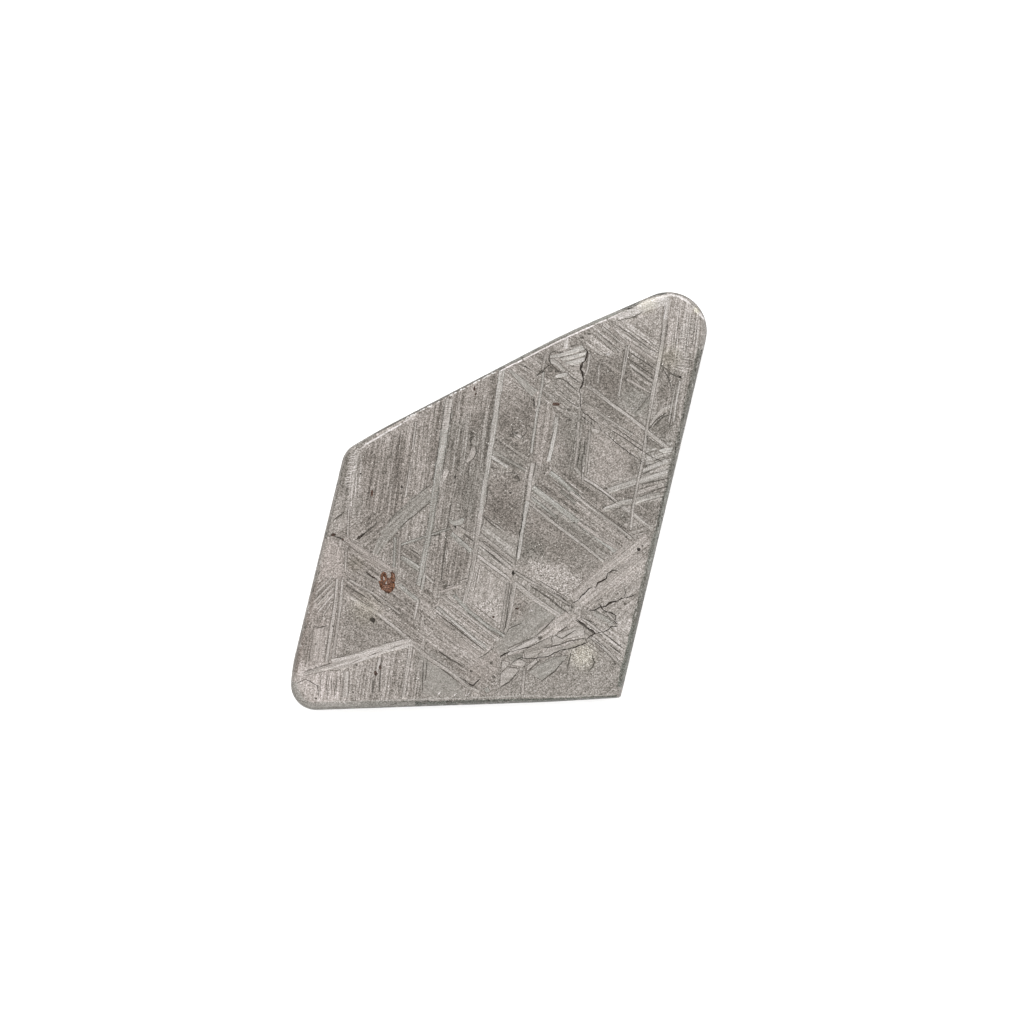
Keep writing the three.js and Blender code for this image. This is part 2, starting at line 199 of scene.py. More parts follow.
# Ground between the plates: lightness, warmth, grain, streaks, direction, outline
FIELDS = (
    (0.505, -0.2, 1.0, 0.5, UPRIGHT, ((-10.6, -2.0), (-9.6, 3.3), (-8.9, 3.6), (-9.3, -2.2))),
    (0.66, -0.2, 1.0, 0.7, UPRIGHT, ((-9.35, -1.6), (-9.1, 3.2), (-8.6, 3.4), (-8.9, -0.5))),
    (0.51, 0.5, 1.0, 0.8, UPRIGHT, ((-8.9, -1.9), (-8.5, 3.0), (-6.95, 4.1), (-6.9, -1.2), (-7.4, -2.2))),
    (0.56, 0.3, 1.0, 0.9, UPRIGHT, ((-7.15, -1.6), (-6.95, 4.6), (-6.5, 4.9), (-6.75, -1.0))),
    (0.465, 0.6, 1.0, 0.9, UPRIGHT, ((-6.75, -1.3), (-6.5, 4.2), (-5.85, 4.1), (-6.0, -0.5))),
    (0.575, 0.45, 1.0, 0.8, UPRIGHT, ((-6.0, -0.2), (-5.85, 5.2), (-4.3, 5.9), (-4.45, 1.2))),
    (0.62, 0.3, 1.0, 0.7, FALLING, ((-8.9, 3.5), (-4.0, 6.1), (-4.2, 5.6), (-8.6, 3.1))),
    (0.47, 0.35, 1.0, 0.8, UPRIGHT, ((-4.45, 1.3), (-4.05, 6.0), (-3.5, 6.3), (-3.95, 2.0), (-4.1, 1.2))),
    (0.505, -0.3, 1.0, 1.1, UPRIGHT, ((-3.7, 0.6), (-3.0, 6.6), (-0.55, 7.9), (-0.5, 4.0), (-1.0, 0.4))),
    (0.525, 0.45, 1.0, 0.8, UPRIGHT, ((-3.0, 4.9), (-2.9, 6.7), (-0.3, 8.1), (-0.4, 5.4), (-1.6, 5.5))),
    (0.5, -0.3, 1.0, 0.6, UPRIGHT, ((-3.75, 1.9), (-3.4, 4.8), (-2.95, 4.6), (-3.1, 1.7))),
    (0.45, 0.6, 1.0, 0.2, UPRIGHT, ((-1.95, 4.7), (-1.7, 5.4), (-1.15, 5.5), (-1.2, 4.5), (-1.6, 4.35))),
    (0.51, 0.1, 1.0, 0.7, UPRIGHT, ((-4.1, -2.1), (-3.7, 1.6), (-1.05, 1.6), (-1.4, -2.0))),
    (0.53, 0.2, 1.0, 0.5, UPRIGHT, ((-4.4, 0.2), (-4.2, 1.3), (-3.5, 1.9), (-3.6, 0.6))),
    (0.49, -0.3, 1.0, 0.6, UPRIGHT, ((-2.4, -1.2), (-2.4, 1.3), (-1.1, 1.4), (-1.4, -0.8))),
    (0.485, 0.4, 1.0, 0.3, FALLING, (
        (-0.3, 4.2), (-0.1, 7.3), (0.6, 7.5), (2.2, 6.4), (2.3, 2.4), (0.3, 2.6))),
    (0.56, 0.5, 1.0, 0.3, FALLING, ((0.0, 6.1), (0.1, 7.6), (0.9, 7.3), (1.6, 6.7), (1.4, 5.9))),
    (0.43, 0.4, 1.0, 0.3, FALLING, ((0.0, 4.5), (0.0, 5.3), (1.9, 5.4), (1.9, 4.9), (1.0, 4.3))),
    (0.48, 0.0, 1.0, 0.8, FALLING, ((-0.6, 3.3), (-0.4, 4.3), (1.8, 3.0), (1.8, 2.2), (-0.8, 1.9))),
    (0.50, 0.5, 1.0, 0.3, FALLING, ((-1.0, -0.6), (-0.8, 1.5), (1.6, 1.9), (1.3, -0.4))),
    (0.445, 0.5, 1.0, 0.3, FALLING, ((-1.1, -0.8), (-1.0, 0.0), (1.3, 0.2), (1.2, -2.2), (0.9, -2.2))),
    (0.60, 0.3, 1.0, 0.7, FALLING, ((0.3, 8.6), (2.8, 9.9), (2.8, 7.5), (2.1, 6.7), (0.1, 7.6))),
    (0.58, 0.2, 1.0, 0.7, FALLING, ((2.7, 9.6), (5.2, 11.0), (5.4, 7.6), (3.2, 7.2))),
    (0.56, 0.0, 1.0, 0.7, FALLING, ((2.6, 5.3), (2.7, 7.7), (3.3, 8.2), (4.9, 7.6), (5.0, 5.0), (3.6, 4.9))),
    (0.58, 0.55, 1.0, 0.5, UPRIGHT, ((2.0, 2.3), (2.5, 6.8), (3.6, 5.4), (3.2, 2.4))),
    (0.50, 0.1, 1.0, 0.2, UPRIGHT, ((3.2, 1.9), (3.6, 5.3), (4.9, 4.9), (4.5, 1.7))),
    (0.57, 0.5, 1.0, 0.2, UPRIGHT, ((3.4, 2.8), (3.5, 3.9), (4.2, 3.8), (4.2, 2.9))),
    (0.455, -0.3, 1.0, 0.8, UPRIGHT, ((4.3, 1.9), (4.5, 5.6), (5.75, 5.1), (5.5, 2.2))),
    (0.61, 0.6, 1.0, 0.3, FALLING, ((5.5, 1.2), (5.8, 4.7), (6.3, 4.4), (8.4, 2.8), (8.0, 1.0), (6.9, 0.8))),
    (0.57, 0.5, 1.0, 0.3, FALLING, ((6.3, 4.7), (8.3, 5.2), (9.2, 4.2), (8.5, 2.9))),
    (0.44, 0.3, 1.0, 0.2, UPRIGHT, ((8.0, 1.5), (8.15, 2.75), (8.35, 2.8), (8.75, 1.5))),
    (0.59, -0.2, 1.0, 0.8, SHALLOW, ((8.7, 1.4), (8.9, 3.6), (10.9, 3.9), (10.6, 1.6))),
    (0.475, 0.3, 1.0, 0.2, UPRIGHT, ((5.3, 7.0), (5.4, 9.3), (7.6, 9.2), (9.9, 8.3), (9.5, 6.7), (7.3, 5.8))),
    (0.43, 0.6, 1.0, 0.2, UPRIGHT, ((6.15, 7.2), (6.2, 7.9), (7.3, 7.9), (7.6, 7.1), (7.1, 6.6))),
    (0.56, 0.4, 1.0, 0.7, FALLING, ((8.0, 8.3), (8.9, 8.9), (9.8, 8.8), (9.6, 7.2), (9.1, 7.3))),
    (0.55, -0.35, 1.0, 0.3, FALLING, (
        (7.5, 6.9), (8.3, 7.1), (9.4, 7.0), (9.1, 5.2), (8.0, 5.6), (7.4, 5.9))),
    (0.645, 0.3, 1.0, 1.0, FALLING, (
        (5.4, 9.0), (5.4, 11.0), (7.8, 12.2), (10.0, 9.6), (10.0, 8.9), (7.6, 9.3))),
    (0.65, 0.4, 1.0, 0.3, FALLING, ((7.8, 11.3), (8.4, 12.5), (10.3, 13.1), (10.0, 9.9))),
    (0.655, 0.6, 1.0, 0.7, UPRIGHT, ((10.1, 9.0), (10.4, 13.2), (12.6, 12.6), (13.1, 10.6), (12.6, 9.0))),
    (0.56, 0.4, 1.0, 0.8, UPRIGHT, ((10.0, 5.0), (10.1, 9.2), (12.5, 9.2), (12.2, 7.2), (11.4, 4.4))),
    (0.46, 0.4, 1.0, 0.3, RISING, ((9.75, 6.1), (10.1, 7.9), (10.55, 7.9), (10.5, 7.0), (10.1, 6.3))),
    (0.47, 0.0, 1.0, 0.3, RISING, ((9.3, 4.6), (9.6, 5.2), (10.6, 5.5), (10.9, 4.6), (10.2, 4.0))),
    (0.61, 0.3, 1.0, 0.7, RISING, ((-10.7, -2.4), (-9.0, -0.3), (-8.5, -0.6), (-8.6, -2.6), (-9.2, -2.6))),
    (0.48, 0.3, 1.0, 0.7, RISING, ((-8.5, -0.5), (-6.6, -1.0), (-6.0, -3.4), (-8.6, -2.7))),
    (0.655, 0.8, 1.0, 0.2, UPRIGHT, (
        (-11.9, -5.2), (-10.6, -2.3), (-9.7, -3.0), (-9.7, -5.2), (-10.4, -5.6))),
    (0.53, 0.4, 1.0, 0.8, FALLING, ((-9.8, -2.8), (-9.7, -4.9), (-7.9, -5.0), (-6.4, -4.4), (-8.2, -3.4))),
    (0.56, 0.4, 1.0, 0.8, FALLING, ((-10.0, -4.6), (-9.9, -6.2), (-5.2, -9.4), (-4.7, -8.4), (-7.0, -6.0))),
    (0.585, 0.5, 1.0, 0.8, RISING, (
        (-12.3, -6.8), (-11.6, -4.6), (-10.2, -4.6), (-10.5, -7.8), (-11.9, -7.8))),
    (0.53, 0.6, 1.0, 0.5, UPRIGHT, ((-12.0, -6.7), (-11.0, -6.9), (-11.0, -7.7), (-12.3, -7.9))),
    (0.52, 0.6, 1.0, 0.5, UPRIGHT, ((-12.9, -10.0), (-12.3, -7.7), (-11.7, -7.9), (-12.0, -10.1))),
    (0.54, 0.15, 1.0, 0.3, FALLING, ((-9.9, -6.0), (-10.2, -9.9), (-8.5, -9.3), (-6.1, -8.4), (-7.2, -7.5))),
    (0.65, 0.5, 1.0, 0.8, UPRIGHT, (
        (-10.9, -7.2), (-9.8, -5.0), (-9.9, -8.5), (-10.3, -10.1), (-11.4, -10.3))),
    (0.73, 0.6, 1.0, 0.5, UPRIGHT, (
        (-13.0, -10.1), (-11.3, -10.1), (-9.9, -10.4), (-9.5, -12.4), (-12.0, -12.8))),
    (0.61, 0.3, 1.0, 0.8, UPRIGHT, ((-9.9, -10.3), (-5.6, -9.0), (-5.2, -12.4), (-9.9, -12.8))),
    (0.59, -0.5, 0.55, 0.2, FALLING, (
        (-5.0, -9.5), (-4.3, -9.4), (-2.6, -10.9), (-2.2, -12.2), (-4.9, -12.2))),
    (0.48, 0.4, 1.0, 0.9, UPRIGHT, ((-4.3, -5.3), (-4.1, -2.2), (-1.7, -3.0), (-2.0, -5.0), (-3.6, -5.8))),
    (0.51, 0.1, 1.0, 0.6, FALLING, ((-6.3, -2.9), (-5.0, -2.4), (-4.8, -4.5), (-5.1, -5.0), (-6.2, -4.3))),
    (0.50, 0.3, 1.0, 0.8, FALLING, ((-6.6, -4.6), (-5.0, -5.1), (-5.3, -8.6), (-7.2, -6.4))),
    (0.62, 0.4, 1.0, 0.8, FALLING, (
        (-4.8, -6.2), (-2.3, -5.6), (0.6, -8.2), (0.3, -9.8), (-1.3, -10.5), (-4.6, -9.2))),
    (0.655, 0.3, 0.85, 0.4, UPRIGHT, (
        (-1.9, -3.6), (-1.4, -2.0), (1.1, -2.1), (0.9, -5.0), (0.3, -8.1), (-2.2, -6.2))),
    (0.635, -0.2, 0.8, 0.5, FALLING, (
        (-1.6, -1.9), (-0.4, -1.2), (1.1, -2.6), (1.0, -4.2), (-0.2, -3.9), (-1.7, -3.3))),
    (0.56, 0.4, 1.0, 0.8, FALLING, (
        (-4.4, -9.0), (-1.2, -10.4), (0.1, -11.6), (-1.0, -12.2), (-2.6, -10.9))),
    (0.51, 0.45, 1.0, 0.3, FALLING, (
        (1.9, -0.2), (5.5, -2.8), (6.9, -4.0), (5.3, -4.9), (4.3, -4.0), (1.1, -3.9))),
    (0.57, -0.2, 1.0, 0.6, FALLING, (
        (1.7, 0.3), (2.0, -0.2), (5.6, -2.9), (6.6, -3.8), (7.0, -3.4), (2.2, 1.0))),
    (0.53, 0.0, 1.0, 0.3, FALLING, ((1.3, -2.2), (1.7, -2.4), (3.0, -3.3), (3.0, -3.8), (1.2, -3.9))),
    (0.53, 0.25, 1.0, 0.3, RISING, ((4.4, -3.1), (6.0, -3.0), (6.5, -3.8), (5.5, -4.8), (4.7, -4.4))),
    (0.61, 0.3, 0.95, 0.3, RISING, ((1.1, -3.9), (2.2, -3.7), (2.6, -5.0), (1.1, -5.0))),
    (0.655, 0.45, 1.5, 0.1, RISING, (
        (1.7, -3.7), (3.4, -3.8), (4.8, -4.6), (5.2, -5.2), (4.3, -6.1), (2.6, -5.2))),
    (0.66, 0.4, 1.4, 0.1, RISING, ((-1.6, -6.4), (-0.6, -6.2), (0.2, -5.9), (0.1, -6.6), (-1.2, -7.2))),
    (0.515, 0.4, 1.0, 0.8, FALLING, (
        (2.2, 1.0), (3.2, 2.2), (5.4, 1.3), (8.3, -1.4), (8.4, -2.6), (7.3, -3.1))),
    (0.55, 0.2, 1.0, 0.8, SHALLOW, ((6.8, -0.2), (7.0, 1.3), (10.6, 2.2), (10.0, -2.8), (8.6, -2.6))),
    (0.47, 0.5, 1.0, 0.3, SHALLOW, ((7.1, 0.45), (7.6, 0.8), (8.5, 1.0), (8.5, 0.25), (7.6, 0.1))),
    (0.45, -0.1, 1.0, 0.3, SHALLOW, ((7.0, -0.6), (7.9, -0.35), (8.2, -1.4), (7.6, -1.3))),
    (0.50, 0.3, 1.0, 0.3, FALLING, ((8.5, -0.2), (9.9, 0.1), (9.7, -1.5), (8.4, -0.9))),
    (0.64, 0.7, 1.0, 0.7, RISING, (
        (4.5, -5.6), (6.6, -3.7), (8.3, -2.4), (9.3, -2.2), (9.0, -4.4), (5.2, -6.8))),
    (0.63, 0.35, 1.0, 0.6, RISING, ((5.2, -6.9), (9.0, -4.4), (8.7, -6.6), (8.4, -8.6), (6.0, -7.6))),
    (0.60, -0.5, 0.5, 0.3, RISING, ((0.6, -5.1), (4.6, -7.0), (2.8, -7.95), (0.3, -9.4), (0.4, -7.0))),
    (0.54, 0.6, 1.0, 0.3, RISING, ((0.8, -5.2), (2.1, -6.35), (1.5, -7.1), (0.6, -7.8))),
    (0.635, 0.55, 0.8, 0.7, RISING, (
        (0.3, -9.6), (3.0, -7.9), (4.6, -6.9), (5.3, -7.3), (2.6, -9.2), (0.9, -10.0))),
    (0.66, 0.45, 1.0, 0.6, SHALLOW, ((2.6, -8.9), (5.0, -7.4), (5.7, -8.6), (3.0, -9.7))),
    (0.67, 0.3, 1.0, 0.8, FALLING, ((5.3, -7.1), (8.5, -7.4), (8.0, -10.5), (6.0, -9.0))),
    (0.575, 0.1, 1.0, 0.2, UPRIGHT, ((0.2, -10.1), (2.9, -9.8), (4.4, -9.4), (4.4, -12.6), (-0.8, -12.7))),
    (0.575, 0.1, 1.0, 0.3, RISING, ((4.4, -10.4), (6.0, -9.2), (8.0, -10.5), (7.7, -12.4), (4.3, -12.5))),
    (0.725, 0.2, 1.5, 0.1, RISING, (
        (4.5, -9.4), (5.3, -9.0), (5.7, -9.0), (5.9, -9.5), (5.8, -10.1), (5.4, -10.4), (4.6, -10.2))),
    (0.44, 0.6, 1.0, 0.7, UPRIGHT, ((-4.2, 2.0), (-4.0, 5.9), (-3.65, 6.1), (-3.9, 2.2))),
    (0.46, 0.7, 1.0, 0.6, UPRIGHT, (
        (-12.1, -8.0), (-11.7, -8.0), (-11.8, -9.2), (-12.0, -10.2), (-12.3, -10.2))),
    (0.475, -0.3, 1.0, 0.3, FALLING, ((1.4, -2.3), (2.6, -2.5), (2.6, -3.3), (1.3, -3.6))),
    (0.62, 0.0, 1.0, 0.4, RISING, ((-10.8, -1.6), (-10.3, 0.2), (-9.7, 0.4), (-9.8, -1.7))),
    (0.60, -0.4, 0.6, 0.3, RISING, (
        (0.58, -7.85), (1.4, -7.65), (1.85, -7.0), (2.45, -6.5), (3.0, -6.85), (3.55, -7.2), (2.67, -8.1),
        (2.25, -8.48), (0.17, -9.52), (-0.4, -9.15), (0.27, -8.38))),
    (0.58, 0.7, 0.8, 0.4, FALLING, (
        (-0.4, -9.1), (0.1, -9.55), (-0.1, -10.2), (-0.3, -10.8), (-1.2, -11.3), (-1.9, -11.2), (-2.1, -10.5),
        (-1.2, -9.75))),
    (0.53, 0.4, 1.0, 0.3, FALLING, ((10.2, 9.3), (11.0, 9.4), (11.1, 8.8), (10.3, 8.6))),
    (0.50, -0.2, 1.0, 0.6, SHALLOW, ((5.6, -6.9), (6.2, -7.4), (7.1, -7.8), (6.5, -7.0))),
    (0.43, 0.6, 1.0, 0.5, FALLING, ((2.7, 8.4), (3.3, 8.7), (3.9, 8.2), (3.3, 7.8), (2.8, 7.9))),
    (0.53, 0.3, 1.0, 0.8, FALLING, ((-5.2, -5.3), (-4.3, -5.5), (-3.9, -6.3), (-4.6, -7.2), (-5.3, -6.8))),
    (0.505, 0.3, 1.0, 0.6, FALLING, ((5.2, 6.9), (5.2, 5.6), (6.3, 4.8), (8.3, 5.2), (7.3, 5.9))),
    (0.51, 0.5, 1.0, 0.7, RISING, ((8.2, -2.6), (9.4, -2.2), (9.1, -4.0), (8.2, -3.6))),
    (0.53, 0.3, 1.0, 0.8, UPRIGHT, (
        (-7.0, -9.6), (-5.7, -9.2), (-5.7, -12.0), (-7.0, -12.2), (-4.75, -4.95), (-4.2, -5.3),
        (-4.2, -5.75), (-4.8, -5.7))),
    (0.615, 0.3, 1.0, 0.4, UPRIGHT, ((-2.4, -5.6), (-2.2, -4.0), (-1.1, -4.0), (-1.2, -5.6))),
    (0.60, 0.3, 1.0, 0.9, FALLING, ((8.1, 10.95), (9.4, 11.0), (9.6, 9.6), (8.2, 9.6))),
    (0.56, 0.5, 1.0, 0.3, FALLING, ((5.1, 5.0), (5.2, 3.6), (6.4, 3.6), (6.5, 4.6))),
    (0.475, 0.1, 1.0, 0.7, UPRIGHT, ((-3.8, 0.5), (-3.7, 2.0), (-2.5, 2.0), (-2.6, 0.5))),
    (0.56, 0.0, 1.0, 0.6, UPRIGHT, ((-10.0, -1.0), (-9.9, 0.6), (-8.6, 0.6), (-8.6, -1.0))),
)

# Plates: metal, width at each end, path on the face in millimetres
FALLING_PLATES = (
    ("tan", 0.32, 0.42, ((-9.56, -2.47), (-8.0, -3.59), (-6.78, -4.34))),
    ("pale", 0.14, 0.12, ((-9.4, -4.9), (-7.9, -5.75), (-6.2, -7.0))),
    ("pale", 0.14, 0.12, ((-8.9, -4.3), (-7.7, -5.0))),
    ("pale", 0.22, 0.22, ((-9.34, -5.97), (-7.66, -6.97), (-6.49, -7.91), (-5.41, -8.91), (-4.41, -9.81))),
    ("pale", 0.22, 0.2, ((-4.41, -9.81), (-3.34, -10.49), (-1.91, -11.64), (-1.29, -11.88))),
    ("cool", 0.22, 0.32, ((-6.16, -3.47), (-5.5, -3.85), (-4.99, -4.24))),
    ("cool", 0.2, 0.16, ((-6.3, -5.2), (-5.1, -6.2))),
    ("pale", 0.16, 0.14, ((-4.66, -4.59), (-4.16, -5.06))),
    ("cool", 0.25, 0.25, ((-3.03, -2.0), (-1.78, -3.09))),
    ("pale", 0.2, 0.2, ((-3.2, -1.1), (-2.6, -1.6), (-1.9, -2.05))),
    ("silver", 0.16, 0.14, ((-3.94, -6.59), (-2.38, -7.91), (-1.72, -8.47), (-0.81, -9.16))),
    ("pale", 0.19, 0.17, ((-3.59, -5.91), (-2.38, -6.84), (-1.29, -7.66), (-0.22, -8.47))),
    ("cool", 0.19, 0.17, ((-2.86, -5.84), (-1.91, -6.84), (-0.81, -7.72), (0.27, -8.41))),
    ("tan", 0.34, 0.42, ((-4.03, -7.28), (-3.09, -8.22), (-2.03, -9.09), (-1.34, -9.66))),
    ("pale", 0.22, 0.2, ((-1.34, -2.0), (-0.2, -2.9), (0.9, -3.75))),
    ("pale", 0.22, 0.2, ((-1.4, -2.45), (-0.3, -3.3), (0.7, -4.15))),
    ("pale", 0.2, 0.16, ((-1.5, -3.3), (-0.4, -4.1), (0.55, -4.8))),
    ("silver", 0.2, 0.18, ((-0.53, 2.83), (0.0, 2.5), (0.5, 2.16))),
    ("grey", 0.16, 0.16, ((-0.5, 3.2), (0.5, 2.6), (1.6, 1.95))),
    ("moss", 0.12, 0.5, ((0.6, 8.25), (1.5, 7.4), (2.2, 6.75))),
    ("cool", 0.31, 0.28, ((2.07, 0.91), (2.84, 0.28), (4.22, -0.78), (5.66, -1.84), (7.22, -3.09))),
    ("cream", 0.13, 0.14, ((1.78, -0.03), (3.64, -1.53), (5.14, -2.66), (6.91, -4.09))),
    ("cool", 0.13, 0.12, ((2.03, 0.22), (2.91, -0.47), (3.53, -0.97))),
    ("cool", 0.25, 0.22, ((3.16, 1.84), (3.88, 1.25), (4.97, 0.22))),
    ("grey", 0.19, 0.17, ((3.78, 0.72), (4.72, -0.09))),
    ("pale", 0.14, 0.13, ((5.26, 1.47), (6.03, 1.0), (6.66, 0.53), (7.41, -0.08))),
    ("pale", 0.22, 0.22, ((7.63, -0.31), (8.34, -0.78), (9.07, -1.41), (9.53, -1.72))),
    ("pale", 0.16, 0.15, ((4.4, 0.6), (5.9, -0.5), (7.5, -1.7), (8.2, -2.3))),
    ("pink", 0.18, 0.2, ((4.9, -1.3), (6.2, -2.2), (7.3, -2.9))),
    ("pale", 0.2, 0.18, ((5.4, 7.27), (6.3, 6.65), (7.1, 6.0), (8.15, 5.3), (9.17, 4.44))),
    ("pale", 0.2, 0.22, ((9.17, 4.44), (10.2, 3.6), (10.7, 3.2))),
    ("plain", 0.14, 0.12, ((5.3, 6.2), (6.7, 5.2), (8.3, 4.2))),
    ("pale", 0.19, 0.17, ((6.06, 10.5), (7.26, 9.4))),
    ("pale", 0.13, 0.12, ((6.4, 10.9), (7.5, 9.96))),
    ("tan", 0.13, 0.12, ((6.9, 10.9), (7.94, 9.85))),
    ("tan", 0.28, 0.24, ((7.94, 9.96), (9.8, 8.7))),
    ("pale", 0.18, 0.16, ((8.15, 8.6), (9.66, 7.46))),
    ("tan", 0.14, 0.12, ((7.94, 7.67), (9.4, 6.83))),
    ("tan", 0.12, 0.12, ((6.48, 8.76), (7.6, 8.03))),
    ("pale", 0.2, 0.16, ((4.62, 2.15), (4.8, 2.05), (5.05, 1.75))),
    ("pale", 0.31, 0.25, ((0.91, -5.09), (1.84, -5.84), (2.72, -6.47), (4.16, -7.41))),
    ("pale", 0.14, 0.14, ((0.97, -4.41), (2.84, -5.53), (4.41, -6.47))),
    ("pale", 0.16, 0.16, ((5.14, -7.25), (5.9, -7.85), (6.5, -8.35))),
    ("moss", 0.3, 0.2, ((5.9, -6.95), (6.6, -7.3), (7.1, -7.7))),
    ("pale", 0.14, 0.12, ((6.7, -6.95), (7.3, -7.6))),
    ("pale", 0.2, 0.2, ((5.78, -8.53), (6.64, -9.26), (7.22, -9.84), (7.91, -10.47))),
)
SHALLOW_PLATES = (
    ("cool", 0.1, 0.1, ((-6.22, -2.72), (-3.09, -1.66))),
    ("tan", 0.15, 0.15, ((-3.72, -5.66), (-1.84, -5.03))),
    ("cream", 0.22, 0.4, ((-12.2, -10.75), (-11.3, -10.5), (-10.4, -10.3))),
    ("cream", 0.7, 0.48, ((-10.46, -10.2), (-9.4, -9.95), (-7.8, -9.38), (-6.6, -9.02), (-5.5, -8.8))),
    ("sage", 0.34, 0.36, ((6.78, 0.66), (8.44, 1.25), (9.41, 1.49), (10.6, 1.86))),
    ("sage", 0.3, 0.32, ((6.5, -0.53), (7.72, -0.03), (8.47, 0.04), (10.03, 0.47))),
    ("sage", 0.24, 0.3, ((8.78, 1.9), (9.6, 2.2), (10.5, 2.55))),
    ("pale", 0.31, 0.31, ((0.58, -9.34), (1.59, -8.88), (2.44, -8.58))),
)
RISING_PLATES = (
    ("grey", 0.4, 0.55, ((-7.75, -3.3), (-7.55, -2.75), (-7.1, -2.1))),
    ("grey", 0.7, 0.88, ((-7.2, -2.15), (-6.6, -1.5), (-5.75, -0.6), (-4.35, 0.5))),
    ("pale", 0.5, 0.3, ((-4.2, 0.55), (-3.75, 1.2), (-3.3, 2.0))),
    ("pink", 0.66, 0.66, ((4.75, -6.08), (5.84, -4.83), (6.78, -4.0), (8.0, -3.05), (9.3, -2.3))),
    ("pink", 0.6, 0.6, ((5.6, -6.3), (6.3, -5.7), (6.4, -5.3), (7.3, -4.55), (8.95, -3.45))),
    ("pink", 0.4, 0.36, ((2.5, -8.2), (3.6, -7.5), (4.4, -6.9))),
    ("grey", 0.34, 0.28, ((8.4, 5.45), (9.33, 6.41))),
    ("pale", 0.2, 0.18, ((9.45, 4.75), (9.75, 5.3), (10.2, 5.75), (10.95, 6.1))),
    ("cream", 0.24, 0.2, ((7.3, 11.55), (8.7, 12.05), (9.6, 12.2))),
    ("pale", 0.14, 0.12, ((7.7, 11.35), (8.6, 11.7), (9.3, 12.0))),
    ("pale", 0.12, 0.1, ((-2.2, 2.3), (-1.8, 2.7), (-1.5, 3.4))),
    ("pale", 0.14, 0.1, ((-10.45, -4.7), (-11.6, -5.85))),
    ("pale", 0.13, 0.09, ((-10.4, -5.02), (-11.7, -6.35))),
    ("pale", 0.13, 0.09, ((-10.38, -5.36), (-11.4, -6.5))),
    ("pale", 0.12, 0.08, ((-10.4, -5.75), (-11.35, -6.9))),
    ("pale", 0.12, 0.08, ((-10.55, -6.3), (-11.05, -7.1))),
)
